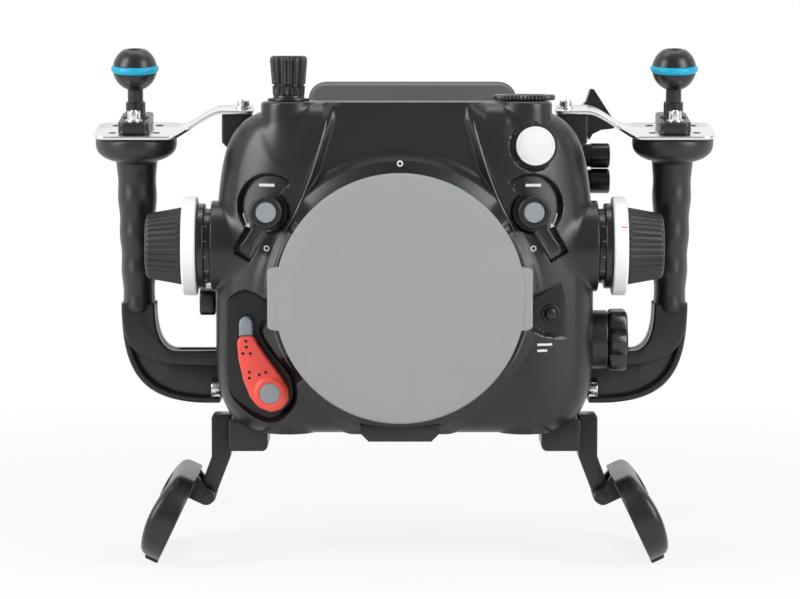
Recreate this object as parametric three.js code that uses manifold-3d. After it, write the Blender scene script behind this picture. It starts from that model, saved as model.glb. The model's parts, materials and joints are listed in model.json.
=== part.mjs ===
// Underwater camera housing: a hollow aluminium case with a port cap,
// knobs, two handles and two folding legs.
// Millimetres, +Z up, the front faces -Y. Widths and heights are taken from the port axis,
// depths from the face of the port cap, and the whole is set on its feet at the end.
import * as THREE from 'three';
import { mergeVertices } from 'three/addons/utils/BufferGeometryUtils.js';
import Module from 'manifold-3d';

const wasm = await Module();
wasm.setup();

// Fits and construction
const gap = 0.3; // between pieces that touch, and round a turning shaft
const overrun = 2; // how far a cutter passes the face that it cuts
const weldDistance = 0.0002;
const sharpestMitreShare = 0.5;
const fineSegments = 26;
const plainSegments = 14;
const smallSegments = 8;
const cornerDivisions = 3;

// Case
const portBossRadius = 79; // the round boss that the port sits on
const bossDrop = 1; // how far the boss reaches below the case
const sideRoom = 28.5; // case beside the boss, for the levers
const topRoom = 30;
const bodyHalfWidth = portBossRadius + sideRoom;
const bodyTop = portBossRadius + topRoom;
const bodyBottom = portBossRadius - bossDrop;
const topCorner = 49.5; // from the side to the level top
const shoulderRound = 23.5;
const topFlatHalf = bodyHalfWidth - topCorner;
const shoulderReach = bodyHalfWidth - shoulderRound;
const shoulderDrop = 7;
const sideTop = 30;
const sideBottom = 36;
const lowerRound = 27.5;
const lowerFlatHalf = bodyHalfWidth - lowerRound;
const frontFace = 12; // depth of the cheeks' face
const edgeRound = 12; // radius of the front edge
const barrelFlatHalf = 50; // half width of the face's flat middle
const barrelDrop = 14; // how far the face falls back at the sides
const faceRingShares = [0.35, 0.65, 0.85];
const splitDepth = 100; // where the back cover meets the front shell
const coverDepth = 28;
const coverBack = splitDepth + coverDepth;
const coverRound = 9;
const wall = 5;
const frontWall = 19;
const roundShares = [0, 0.3, 0.65, 1];
const outlineDivisions = 5;

// Port and its cap
const portX = -2.6;
const capMargin = 9; // boss that shows round the cap
const capRadius = portBossRadius - capMargin;
const capThickness = 9;
const capLobe = 4;
const capLobeReach = capRadius + capLobe;
const capLobeHalf = 19;
const capRim = 3.2;
const capRelief = 0.7;
const spigotLength = 13;
const flangeMargin = 13; // boss outside the port flange
const flangeSeat = 6;
const bayonetLip = 5.6;
const portFlangeRadius = portBossRadius - flangeMargin;
const portBoreRadius = portFlangeRadius - flangeSeat;
const spigotRadius = portBoreRadius - bayonetLip;
const portFlangeThickness = 2.7;
const portRingLength = 14;
const portSealSection = 1.2;
const panelDepth = 18; // the recessed panel above the port
const valleyDraft = 6; // how far the valley's walls lean out up to the cheeks
const footPadHalf = 17.7;
const footPadHeight = 3.5;
const footPadDrop = bodyBottom + footPadHeight;
const footPadChamfer = 5;

// Valley between the cheeks above the port: half widths and heights
const valleyTopHalf = 36.4;
const valleyShares = [
  [1, 1.2], [1, 0.91], [1.17, 0.711], [1.31, 0.576], [1.51, 0.417], [1.93, 0.195], [0, 0],
];

// Port lock levers
const lockHubRadius = 9.4;
const lockMargin = 0.5; // between the hub and the port boss
const lockAngle = THREE.MathUtils.degToRad(32.7); // about the port axis, up from level
const lockCapRadius = 5.9;
const lockArmReach = 27;
const lockArmWidth = 5.5;
const lockProud = 6;
const lockPocketRadius = 17.2;
const lockPocketDepth = 6;
const lockPocketRise = 3; // the crescent's centre above the pivot
const lockPocketShift = 1.3; // and inwards of it
const lockHubPocketRadius = 11.7;
const lockSlotHalf = 5;
const lockSlotReach = 29;
const lockShaftRadius = 3.5;
const lockRestAngle = Math.PI / 6; // the arm's lean outwards from straight down

// Record lever
const recordMargin = 12.2; // pivot to the port boss
const recordReach = portBossRadius + recordMargin;
const recordAngle = THREE.MathUtils.degToRad(36.6); // about the port axis, down from level
const recordLength = 37; // pivot to the shoulder at the tip
const recordTipShift = 13.5; // how far the tip stands outwards of the pivot
const recordThickness = 12;
const recordPinHalf = 3.8;
const recordPinLength = 10.5;
const recordPocketDepth = 15;
const recordShaftRadius = 4;
const recordCapRadius = 5.9;

// Lens release
const releaseMargin = 2.3; // between the button and the port boss
const releaseZ = -9.7;
const releaseRadius = 3.5;
const releaseCollar = 1.8;
const releasePocketHalf = 16;
const releasePocketDepth = 8;
const releaseProud = 2.5; // above the pocket's floor

// Round badge
const badgeInset = 34.3; // from the side of the case
const badgeDrop = 24.3;
const badgeX = bodyHalfWidth - badgeInset;
const badgeZ = bodyTop - badgeDrop;
const badgeRadius = 11;
const badgeRecess = 6.5;
const badgeThickness = 1.2;
const badgeRing = 13.5;

// Controls on the top
const topControlSetback = 34;
const topControlDepth = frontFace + topControlSetback;
const valveInset = 41.7; // from the side of the case
const valveX = valveInset - bodyHalfWidth;
const valveFlangeRadius = 12;
const valveFlangeHeight = 1.5;
const valveNutHalf = 8.6;
const valveNutHeight = 2;
const valveCapRadius = 10.6;
const valveCapBottomRadius = 9.2;
const valveCapHeight = 22.5;
const valveRibs = 12;
const valveRibDepth = 0.8;
const valveStemRadius = 5;
const topBossRadius = 14;
const topBossHeight = 0.2; // above the level top of the case
const dialInset = 39.5;
const dialX = bodyHalfWidth - dialInset;
const dialRadius = 17.5;
const dialThickness = 3.5;
const dialShaftRadius = 3;
const dialKnurls = 14;
const dialKnurlDepth = 0.5;

// Focus knobs on the sides
const knobSetback = 17; // behind the inside of the front wall
const knobDepth = frontFace + frontWall + knobSetback;
const knobZ = 26.5;
const knobBossRadius = 26;
const knobBossProud = 2.5;
const knobBossReach = bodyHalfWidth + knobBossProud;
const indexDiscRadius = 24.35;
const indexDiscThickness = 7.7;
const indexNeckRadius = 21.5;
const indexNeckLength = 3.7;
const markingRingRadius = 28.2;
const markingRingThickness = 8;
const knobLength = 20.7;
const knobInnerRadius = 22;
const knobOuterRadius = 18.5;
const knobRibs = 14;
const knobRibDepth = 1.1;
const knobHubRadius = 12;
const knobShaftRadius = 5;
const gearModule = 2;
const pinionTeeth = 10;
const idlerTeeth = 15;
const gearWidth = 7;
const gearInset = 8; // from the inside of the wall to the gear
const gearBacklash = 0.25;
const addendumShare = 1;
const dedendumShare = 1.25;
const toothRootShare = 0.7;
const toothTipShare = 0.3;
const idlerPinRadius = 3.5;
const idlerHubRadius = 7;

// Side latches
const latchProud = 11.5;
const latchX = bodyHalfWidth + latchProud; // outer face of the left latch bar
const latchThickness = 9;
const latchZ = -8;
const latchLead = 10; // the bar's middle ahead of the split
const latchDepth = splitDepth - latchLead;
const latchLength = 34;
const latchHeight = 16;
const latchShaftRadius = 4;
const starZ = -28;
const starSetback = 44;
const starDepth = frontFace + starSetback;
const starBossRadius = 17;
const starBossProud = 9.1;
const starBossReach = bodyHalfWidth + starBossProud;
const starRadius = 19;
const starThickness = 11;
const starLobes = 6;
const starValley = 3.4;

// Handles
const handleOffset = 47.5; // from the side of the case
const handleX = bodyHalfWidth + handleOffset;
const armHalfDepth = 12;
const handleClearance = 1; // between the handle's arm and the star knob
const handleDepth = starDepth + starRadius + handleClearance + armHalfDepth;
const handlePivotZ = -14;
const handleLean = THREE.MathUtils.degToRad(8);
const gripHalfWidth = 11.85;
const gripHalfDepth = 14.5;
const gripTaper = 2.5; // off the half width at the lower end
const gripStart = 2; // heights along the handle are taken from its pivot
const gripDrop = 20; // the grip's top end below the top of the case
const gripEnd = bodyTop - gripDrop;
const gripGrooveDepth = 1.6;
const gripGrooves = 4;
const gripRings = 9;
const gripBore = 7;
const standHalfWidth = 23.4; // the stop on top of the grip
const standHalfDepth = 25;
const standHeight = 16;
const standWaist = 5;
const armThickness = 9.3;
const armTop = -36.6;
const armBend = 26;
const armWidth = 19.5;
const armWebDrop = 21.6; // the web and its rim below the arm
const armWebHalfDepth = 6;
const armRim = 3.5;
const armRimHalfDepth = 10;
const strapThickness = 2;
const strapHalfWidth = 11;
const strapOverlap = 20.5; // over the case
const strapBendGap = 1.5;
const strapInner = bodyHalfWidth - strapOverlap;
const strapBendInner = bodyHalfWidth - strapBendGap;
const strapRise = 12.6;
const plateHalfWidth = 23.4;
const plateHalfDepth = 24;
const plateCorner = 10;
const gussetSetback = 19.5;
const gussetEdge = 2.5;
const gussetDrop = 29;
const gussetInner = bodyHalfWidth - gussetSetback;
const gussetOuter = bodyHalfWidth - gussetEdge;
const gussetBottom = bodyTop - gussetDrop;
const gussetHalfDepth = 9;
const ballBaseHalfWidth = 9;
const ballBaseHalfDepth = 20;
const ballBaseHeight = 6.8;
const stemRadius = 5.65;
const stemNeckRadius = 4.45;
const stemStep = 9;
const ballRadius = 12.7;
const ballStem = 28.2; // base to the ball's centre
const ballFlatRadius = 6.35;
const ballSteps = 2;
const ballSealRadius = 11.3;
const ballSealSection = 2.4;
const ballSealSides = 6;

// Legs
const legSetback = 48;
const legDepth = frontFace + legSetback;
const legPivotOut = 6.5; // outside the case
const legPivotDrop = 39.5;
const legPivotX = bodyHalfWidth + legPivotOut;
const legPivotZ = -bodyBottom - legPivotDrop;
const legSplay = THREE.MathUtils.degToRad(25.4);
const legHeight = 53;
const legLength = 110;
const legThickness = 11;
const legBar = 10;
const legStandoff = 9.6; // from the pivot to the loop's inner face
const legRise = 8.25; // from the pivot to the loop's top edge
const legLugThickness = 6;
const legLugRadius = 5;
const legPinRadius = 2.7;
const legKnuckleRadius = 5.5;
const legBracketHalfDepth = 10;
const legBracketRise = 7;
const legBracketDrop = 17;
const legBracketTop = legBracketRise - bodyBottom;
const legBracketBend = -bodyBottom - legBracketDrop;
const legBracketThickness = 11;
const legPadThickness = 2.2;
const legPadEdge = 0.6;
const baseWidth = 21.6;
const baseInset = 7.5;
const baseHeight = 13;
const baseOuter = bodyHalfWidth - baseInset;
const baseInner = baseOuter - baseWidth;
const baseBottom = -bodyBottom - baseHeight;
const baseHalfDepth = 18;

// Back cover and what it carries
const coverWall = 6;
const spigotDepth = 7;
const mainSealWidth = 2;
const mainSealInset = 2;
const humpX = 4.7;
const humpHalf = 61;
const humpRise = 10;
const humpTop = bodyTop + humpRise;
const humpCorner = 10;
const humpSetback = 5;
const humpFront = splitDepth + humpSetback;
const windowX = -12;
const windowZ = -4;
const windowHalfWidth = 42;
const windowHalfHeight = 29;
const windowRebate = 3;
const windowThickness = 3.5;
const eyepieceX = -2.6;
const eyepieceDrop = 37;
const eyepieceZ = bodyTop - eyepieceDrop;
const eyepieceRadius = 24;
const eyepieceLength = 26;
const eyepieceBore = 15;
const eyepieceWaist = 19;
const eyeLensThickness = 4;
const buttonRadius = 4.5;
const buttonProud = 4;
const buttonTravel = 2;
const buttonStemRadius = 2;
const buttonInset = 45.5;
const buttonX = bodyHalfWidth - buttonInset;
const buttonTopZ = 34;
const buttonPitch = 17;
const wheelInset = 41.5;
const wheelRise = 44;
const wheelX = bodyHalfWidth - wheelInset;
const wheelZ = wheelRise - bodyBottom;
const wheelRadius = 15;
const wheelThickness = 7;
const wheelKnurls = 14;
const wheelKnurlDepth = 0.8;
const wheelShaftRadius = 3;
const sideButtonSetback = 14;
const sideButtonDepth = splitDepth + sideButtonSetback;
const sideBossProud = 5.5;
const sideButtonProud = 8.3;
const sideBossReach = bodyHalfWidth + sideBossProud;
const sideButtonReach = sideBossReach + sideButtonProud;
const sideBossRadius = 6.8;
const sideButtonRadius = 7.1;
const sideButtonDrop = 33.5;
const sideButtonPitch = 15;
const sideButtonUpperZ = bodyTop - sideButtonDrop;
const sideButtonLowerZ = sideButtonUpperZ - sideButtonPitch;
const sideButtonStemRadius = 2;
const thumbInset = 3.5;
const thumbDrop = 10;
const thumbX = bodyHalfWidth - thumbInset;
const thumbZ = bodyTop - thumbDrop;
const thumbHubRadius = 6;
const thumbPinRadius = 2.5;
const thumbSetback = 12;
const thumbWidth = 12;
const thumbFront = splitDepth + thumbSetback;
const thumbBack = thumbFront + thumbWidth;
const thumbEarThickness = 6;
const thumbShares = [
  [-0.25, 0.55], [0.55, 1.45], [0.95, 2.65], [1.3, 2.6], [3.5, -0.8], [3.25, -1.25], [2, -1.4],
  [1.2, -1.8], [0.85, -2.4], [0, -1.1],
];

// Inside
const trayHalfWidth = 60;
const trayFront = 44;
const trayLead = 12;
const trayBack = splitDepth - trayLead;
const trayRise = 22; // the tray's top above the underside of the case
const trayThickness = 4;
const trayRailX = 50;
const trayRailHalf = 4;
const trayScrewRadius = 3.1;
const trayScrewHeadRadius = 9;
const trayScrewHead = 6;
const trayScrewReach = 8;
const sensorX = -24;
const sensorHalfWidth = 18;
const sensorLead = 10;
const sensorDepth = 36;
const sensorBack = splitDepth - sensorLead;
const sensorFront = sensorBack - sensorDepth;
const sensorThickness = 1.6;
const batteryRadius = 12;
const batteryThickness = 5;

// Finishes
const anodised = new THREE.MeshStandardMaterial({ color: 0x2c2c2e, roughness: 0.5, metalness: 0.6 });
const knobBlack = new THREE.MeshStandardMaterial({ color: 0x333335, roughness: 0.45, metalness: 0.3 });
const rubber = new THREE.MeshStandardMaterial({ color: 0x232324, roughness: 0.85, metalness: 0 });
const capGrey = new THREE.MeshStandardMaterial({ color: 0xa6a8aa, roughness: 0.55, metalness: 0 });
const steel = new THREE.MeshStandardMaterial({ color: 0xd8d8d8, roughness: 0.25, metalness: 1 });
const leverRed = new THREE.MeshStandardMaterial({ color: 0xe0453b, roughness: 0.5, metalness: 0.1 });
const white = new THREE.MeshStandardMaterial({ color: 0xf0f0ee, roughness: 0.4, metalness: 0 });
const sealBlue = new THREE.MeshStandardMaterial({ color: 0x05b4e6, roughness: 0.5, metalness: 0 });
const clear = new THREE.MeshStandardMaterial({ color: 0x20262a, roughness: 0.05, metalness: 0 });
const brass = new THREE.MeshStandardMaterial({ color: 0xb08d4a, roughness: 0.35, metalness: 1 });
const boardGreen = new THREE.MeshStandardMaterial({ color: 0x1f5a38, roughness: 0.6, metalness: 0 });

// A closed triangle surface becomes a solid; its faces are turned outwards if they point in.
function solid(geometry) {
  const bare = geometry.clone();
  bare.deleteAttribute('normal');
  bare.deleteAttribute('uv');
  const merged = mergeVertices(bare, weldDistance);
  const corners = merged.attributes.position;
  const index = merged.index.array;
  const kept = [];
  const [a, b, c] = [new THREE.Vector3(), new THREE.Vector3(), new THREE.Vector3()];
  let volume = 0;
  for (let i = 0; i < index.length; i += 3) {
    if (index[i] === index[i + 1] || index[i + 1] === index[i + 2] || index[i + 2] === index[i]) continue;
    kept.push(index[i], index[i + 1], index[i + 2]);
    a.fromBufferAttribute(corners, index[i]);
    b.fromBufferAttribute(corners, index[i + 1]);
    c.fromBufferAttribute(corners, index[i + 2]);
    volume += a.dot(b.cross(c));
  }
  if (volume < 0) kept.reverse();
  return new wasm.Manifold(new wasm.Mesh({
    numProp: 3,
    vertProperties: new Float32Array(corners.array),
    triVerts: new Uint32Array(kept),
  }));
}

function asSolid(shape) {
  return shape.isBufferGeometry ? solid(shape) : shape;
}

function join(...shapes) {
  return shapes.map(asSolid).reduce((whole, next) => whole.add(next));
}

function cut(base, ...tools) {
  return tools.map(asSolid).reduce((whole, tool) => whole.subtract(tool), asSolid(base));
}

const housing = new THREE.Group();

function piece(name, shape, material, parent = housing) {
  const made = asSolid(shape).getMesh();
  const geometry = new THREE.BufferGeometry();
  geometry.setAttribute('position', new THREE.BufferAttribute(new Float32Array(made.vertProperties), 3));
  geometry.setIndex(new THREE.BufferAttribute(new Uint32Array(made.triVerts), 1));
  geometry.computeVertexNormals();
  const mesh = new THREE.Mesh(geometry, material);
  mesh.name = name;
  parent.add(mesh);
  return mesh;
}

// The outline is moved outwards by the distance, or inwards where it is negative.
function offsetOutline(points, distance) {
  return points.map((point, i) => {
    const into = point.clone().sub(points.at(i - 1)).normalize();
    const out = points[(i + 1) % points.length].clone().sub(point).normalize();
    const normal = new THREE.Vector2(into.y + out.y, -into.x - out.x).normalize();
    const mitre = Math.max(normal.dot(new THREE.Vector2(into.y, -into.x)), sharpestMitreShare);
    return point.clone().addScaledVector(normal, distance / mitre);
  });
}

// Rings of equal count joined side to side, with a flat fan over each end.
function loft(rings) {
  const corners = [];
  const add = (...points) => points.forEach((point) => corners.push(point.x, point.y, point.z));
  const middle = (ring) => ring.reduce((sum, point) => sum.add(point), new THREE.Vector3())
    .divideScalar(ring.length);
  rings.slice(1).forEach((ring, r) => {
    ring.forEach((point, i) => {
      const j = (i + 1) % ring.length;
      add(rings[r][i], rings[r][j], ring[j]);
      add(rings[r][i], ring[j], point);
    });
  });
  const [first, last] = [rings[0], rings.at(-1)];
  const [firstMiddle, lastMiddle] = [middle(first), middle(last)];
  first.forEach((point, i) => {
    const j = (i + 1) % first.length;
    add(firstMiddle, first[j], point);
    add(lastMiddle, last[i], last[j]);
  });
  const geometry = new THREE.BufferGeometry();
  geometry.setAttribute('position', new THREE.Float32BufferAttribute(corners, 3));
  return geometry;
}

// An outline seen from the front is carried back through depths, drawn in by an inset at each.
function outlineLoft(outline, steps) {
  return loft(steps.map(([depth, inset]) => offsetOutline(outline, -inset)
    .map((point) => new THREE.Vector3(point.x, depth, point.y))));
}

// A slab with a front outline (x across, y up) between two depths, with an optional chamfer.
function slab(outline, front, back, edge = 0) {
  const shape = outline instanceof THREE.Shape ? outline : new THREE.Shape(outline);
  const geometry = new THREE.ExtrudeGeometry(shape, {
    depth: back - front - 2 * edge,
    curveSegments: cornerDivisions,
    bevelEnabled: edge > 0,
    bevelThickness: edge,
    bevelSize: edge,
    bevelOffset: -edge,
    bevelSegments: 1,
  });
  return geometry.rotateX(Math.PI / 2).translate(0, back - edge, 0);
}

// A slab with a plan outline (x across, y back) between two heights.
function floorSlab(outline, bottom, top) {
  const shape = outline instanceof THREE.Shape ? outline : new THREE.Shape(outline);
  return new THREE.ExtrudeGeometry(shape, {
    depth: top - bottom,
    curveSegments: cornerDivisions,
    bevelEnabled: false,
  }).translate(0, 0, bottom);
}

function block(x0, x1, y0, y1, z0, z1) {
  return new THREE.BoxGeometry(Math.abs(x1 - x0), Math.abs(y1 - y0), Math.abs(z1 - z0))
    .translate((x0 + x1) / 2, (y0 + y1) / 2, (z0 + z1) / 2);
}

// A profile of [radius, place] pairs turned about an axis, then moved to its centre.
function turned(profile, axis, x, y, z, segments = plainSegments) {
  const points = profile.map(([radius, place]) => new THREE.Vector2(radius, place));
  if (profile[0][0] !== 0) points.push(points[0].clone());
  const geometry = new THREE.LatheGeometry(points, segments);
  if (axis === 'x') geometry.rotateZ(-Math.PI / 2);
  if (axis === 'z') geometry.rotateX(Math.PI / 2);
  return geometry.translate(x, y, z);
}

function rod(radius, from, to, axis, x, y, z, segments = plainSegments) {
  return turned([[0, from], [radius, from], [radius, to], [0, to]], axis, x, y, z, segments);
}

// The hole round a turning shaft: its flats clear the shaft's corners.
function boreRadius(shaftRadius, segments = smallSegments) {
  return (shaftRadius + gap) / Math.cos(Math.PI / segments);
}

// A closed outline drawn smoothly through shares of a size, set at a place.
function smoothOutline(shares, size, x, z, count) {
  const curve = new THREE.CatmullRomCurve3(
    shares.map(([across, up]) => new THREE.Vector3(x + across * size, z + up * size, 0)), true,
  );
  return curve.getPoints(count).slice(0, -1).map((point) => new THREE.Vector2(point.x, point.y));
}

function points2(pairs) {
  return pairs.map(([x, y]) => new THREE.Vector2(x, y));
}

// A round outline whose radius goes between two values, count times round.
function ribbedOutline(radius, depth, count, x = 0, y = 0) {
  const outline = [];
  for (let i = 0; i < count * 4; i++) {
    const reach = i % 4 < 2 ? radius : radius - depth;
    const angle = (2 * Math.PI * i) / (count * 4);
    outline.push(new THREE.Vector2(x + reach * Math.cos(angle), y + reach * Math.sin(angle)));
  }
  return outline;
}

function roundedRectangle(halfWidth, halfHeight, corner, x = 0, y = 0) {
  const shape = new THREE.Shape();
  shape.moveTo(x + halfWidth, y - halfHeight + corner);
  shape.lineTo(x + halfWidth, y + halfHeight - corner);
  shape.absarc(x + halfWidth - corner, y + halfHeight - corner, corner, 0, Math.PI / 2);
  shape.absarc(x - halfWidth + corner, y + halfHeight - corner, corner, Math.PI / 2, Math.PI);
  shape.absarc(x - halfWidth + corner, y - halfHeight + corner, corner, Math.PI, 1.5 * Math.PI);
  shape.absarc(x + halfWidth - corner, y - halfHeight + corner, corner, 1.5 * Math.PI, 2 * Math.PI);
  return shape;
}

// Case outline seen from the front; both halves are alike.
const upperCornerShares = [0.915, 0.57, 0.77];
const lowerCornerShares = [0.65, 0.62];
const cornerSpan = bodyHalfWidth - shoulderReach;
const rightHalf = new THREE.Path();
rightHalf.moveTo(lowerFlatHalf, -bodyBottom);
rightHalf.bezierCurveTo(
  lowerFlatHalf + lowerCornerShares[0] * (bodyHalfWidth - lowerFlatHalf), -bodyBottom,
  bodyHalfWidth, -sideBottom - lowerCornerShares[1] * (bodyBottom - sideBottom),
  bodyHalfWidth, -sideBottom,
);
rightHalf.lineTo(bodyHalfWidth, sideTop);
rightHalf.bezierCurveTo(
  shoulderReach + upperCornerShares[0] * cornerSpan, sideTop + upperCornerShares[1] * (bodyTop - sideTop),
  shoulderReach + upperCornerShares[2] * cornerSpan, bodyTop - 2 * shoulderDrop,
  shoulderReach, bodyTop - shoulderDrop,
);
rightHalf.lineTo(topFlatHalf, bodyTop);
const rightPoints = rightHalf.getPoints(outlineDivisions);
const leftPoints = rightPoints.map((point) => new THREE.Vector2(-point.x, point.y)).reverse();
const caseOutline = [...rightPoints, ...leftPoints];

const bossFace = capThickness + gap;
const lockReach = portBossRadius + lockHubRadius + lockMargin;
const lockX = lockReach * Math.cos(lockAngle);
const lockZ = lockReach * Math.sin(lockAngle);
const recordX = portX - recordReach * Math.cos(recordAngle);
const recordZ = -recordReach * Math.sin(recordAngle);
const releaseX = portX + portBossRadius + releaseMargin + releaseRadius;
const plateOuter = handleX + plateHalfWidth;
const plateInner = handleX - plateHalfWidth;
const trayTop = trayRise - bodyBottom;
const pocketFloor = frontFace + lockPocketDepth;
const cavityFront = frontFace + frontWall;
const sides = [['left', -1], ['right', 1]];
const pinionRadius = (gearModule * pinionTeeth) / 2;
const idlerRadius = (gearModule * idlerTeeth) / 2;
const idlerZ = knobZ - pinionRadius - idlerRadius;
const gearOuter = bodyHalfWidth - wall - gearInset;
const gearInner = gearOuter - gearWidth;

// Front shell: a rounded box with the port boss, the valley between the cheeks, pockets and bosses
// The face is flat in its middle and falls back towards the sides like a barrel; its edge is round.
const faceDepth = (x) => {
  const out = Math.max(Math.abs(x) - barrelFlatHalf, 0) / (bodyHalfWidth - barrelFlatHalf);
  return frontFace + barrelDrop * out ** 2;
};
const caseRing = (inset, back) => offsetOutline(caseOutline, -inset)
  .map((point) => new THREE.Vector3(point.x, faceDepth(point.x) + back, point.y));
const faceRings = faceRingShares.map((share) => caseRing(edgeRound, 0)
  .map((point) => new THREE.Vector3(share * point.x, faceDepth(share * point.x), share * point.z)));
const edgeRings = roundShares.map((share) => caseRing(
  edgeRound * (1 - Math.sin((share * Math.PI) / 2)), edgeRound * (1 - Math.cos((share * Math.PI) / 2)),
));
const rearRing = caseOutline.map((point) => new THREE.Vector3(point.x, splitDepth, point.y));
const valleyRight = valleyShares.map(([x, z]) => [portX + x * valleyTopHalf, z * bodyTop]);
const valleyLeft = valleyShares
  .slice(0, -1)
  .reverse()
  .map(([x, z]) => [portX - x * valleyTopHalf, z * bodyTop]);
const valley = outlineLoft(points2([...valleyRight, ...valleyLeft]).reverse(), [
  [2 * frontFace - panelDepth, -2 * valleyDraft], [panelDepth, 0],
]);

const portBoss = turned([
  [0, bossFace], [portBossRadius - overrun, bossFace], [portBossRadius, bossFace + overrun],
  [portBossRadius, cavityFront], [0, cavityFront],
], 'y', portX, 0, 0, fineSegments);
const footPad = slab(points2([
  [portX - footPadHalf, -footPadDrop], [portX + footPadHalf, -footPadDrop],
  [portX + footPadHalf + footPadChamfer, footPadChamfer - footPadDrop],
  [portX + footPadHalf + footPadChamfer, wall - bodyBottom],
  [portX - footPadHalf - footPadChamfer, wall - bodyBottom],
  [portX - footPadHalf - footPadChamfer, footPadChamfer - footPadDrop],
]), frontFace, splitDepth - wall);
const topBosses = [valveX, dialX].map((x) => rod(
  topBossRadius, bodyTop - shoulderDrop - wall, bodyTop + topBossHeight, 'z', x, topControlDepth, 0,
));
const trayRails = [-trayRailX, trayRailX].map((x) => block(
  x - trayRailHalf, x + trayRailHalf, trayFront - trayRailHalf, trayBack + trayRailHalf,
  -bodyBottom + wall / 2, trayTop - trayThickness - gap,
));
const sideBosses = sides.map(([, side]) => rod(
  knobBossRadius, side * (bodyHalfWidth - wall), side * knobBossReach, 'x', 0, knobDepth, knobZ, fineSegments,
));
const idlerPins = sides.map(([, side]) => rod(
  idlerPinRadius, side * (gearInner - gap), side * (bodyHalfWidth - wall / 2), 'x', 0, knobDepth, idlerZ,
  smallSegments,
));
const starBoss = rod(
  starBossRadius, bodyHalfWidth - wall, starBossReach - gap, 'x', 0, starDepth, starZ, plainSegments,
);

const recordPocketShares = [
  [-0.67, 1.31], [-0.53, 1.48], [-0.35, 1.52], [-0.16, 1.42], [-0.05, 1.24], [-0.17, 0.95], [-0.02, 0.64],
  [0.26, 0.28], [0.34, 0.08], [0.3, -0.18], [-0.02, -0.42], [-0.52, -0.15], [-0.67, 0.16], [-0.71, 0.72],
];
const releasePocketShares = [
  [-0.54, 0.53], [0.33, 1.05], [0.62, -0.08], [0.71, -0.92], [-0.19, -0.68], [-0.69, -0.38],
];
const lockShafts = sides.map(([, side]) => rod(
  boreRadius(lockShaftRadius), 0, splitDepth / 2, 'y', portX + side * lockX, 0, lockZ, smallSegments,
));
// Each lock pocket is a crescent over the hub and down its outer side, with a slot under the arm
const crescentEndShares = [[0, 0], [-1.2, 1.6], [-2, -2], [1, -1.73]];
const lockPockets = sides.map(([, side]) => {
  const x = portX + side * lockX;
  const underArm = new THREE.Matrix4().makeTranslation(x, 0, lockZ)
    .multiply(new THREE.Matrix4().makeRotationY(side * -lockRestAngle));
  return join(
    cut(
      rod(
        lockPocketRadius, 0, pocketFloor, 'y', x - side * lockPocketShift, 0, lockZ + lockPocketRise,
        fineSegments,
      ),
      slab(
        points2(crescentEndShares.map(([out, up]) => [
          x + side * out * lockPocketRadius, lockZ + up * lockPocketRadius,
        ])), -overrun, pocketFloor + overrun,
      ),
    ),
    rod(lockHubPocketRadius, 0, pocketFloor, 'y', x, 0, lockZ, plainSegments),
    slab(points2([
      [-lockSlotHalf, 0], [-lockSlotHalf, -lockSlotReach], [lockSlotHalf, -lockSlotReach], [lockSlotHalf, 0],
    ]), 0, pocketFloor).applyMatrix4(underArm),
  );
});
const recordPocketPoints = 26;
const recordPocket = slab(
  smoothOutline(recordPocketShares, recordLength, recordX, recordZ, recordPocketPoints),
  0, frontFace + recordPocketDepth,
);
const releasePocket = slab(
  points2(releasePocketShares.map(([x, z]) => [
    releaseX + x * releasePocketHalf, releaseZ + z * releasePocketHalf,
  ])),
  0, frontFace + releasePocketDepth,
);
const cavity = outlineLoft(caseOutline, [
  [cavityFront, wall + edgeRound / 2],
  [cavityFront + edgeRound / 2, wall],
  [splitDepth + overrun, wall],
]);
const outerShell = join(
  cut(loft([...faceRings, ...edgeRings, rearRing]), valley),
  portBoss, footPad, ...topBosses, ...sideBosses, starBoss,
);
const frontShell = join(cut(
  outerShell,
  cavity,
  rod(portBoreRadius, 0, cavityFront + overrun, 'y', portX, 0, 0, fineSegments),
  rod(portFlangeRadius + gap, 0, bossFace + portFlangeThickness + 2 * gap, 'y', portX, 0, 0, fineSegments),
  ...lockShafts, ...lockPockets, recordPocket, releasePocket,
  rod(boreRadius(recordShaftRadius), 0, splitDepth / 2, 'y', recordX, 0, recordZ, smallSegments),
  rod(releaseRadius + gap, 0, splitDepth / 2, 'y', releaseX, 0, releaseZ, smallSegments),
  rod(badgeRing, 0, frontFace + badgeRecess, 'y', badgeX, 0, badgeZ, plainSegments),
  rod(valveStemRadius + gap, bodyTop / 2, bodyTop + wall, 'z', valveX, topControlDepth, 0, smallSegments),
  rod(
    boreRadius(dialShaftRadius), bodyTop / 2, bodyTop + wall, 'z', dialX, topControlDepth, 0,
    smallSegments,
  ),
  ...sides.map(([, side]) => rod(
    boreRadius(knobShaftRadius), side * gearOuter, side * (knobBossReach + overrun), 'x', 0, knobDepth, knobZ,
    smallSegments,
  )),
  rod(
    boreRadius(latchShaftRadius), gearOuter, starBossReach + overrun, 'x', 0, starDepth, starZ,
    smallSegments,
  ),
  rod(
    boreRadius(latchShaftRadius), -gearOuter, -latchX, 'x', 0, latchDepth - latchHeight / 2, latchZ,
    smallSegments,
  ),
), ...trayRails, ...idlerPins);
piece('front_shell', frontShell, anodised);

// Port ring and the cap that plugs it
piece('port_ring', turned([
  [spigotRadius + 2 * gap, bossFace + gap], [portFlangeRadius, bossFace + gap],
  [portFlangeRadius, bossFace + gap + portFlangeThickness],
  [portBoreRadius - gap, bossFace + gap + portFlangeThickness],
  [portBoreRadius - gap, bossFace + portRingLength], [spigotRadius + 2 * gap, bossFace + portRingLength],
], 'y', portX, 0, 0, fineSegments), steel);

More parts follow.
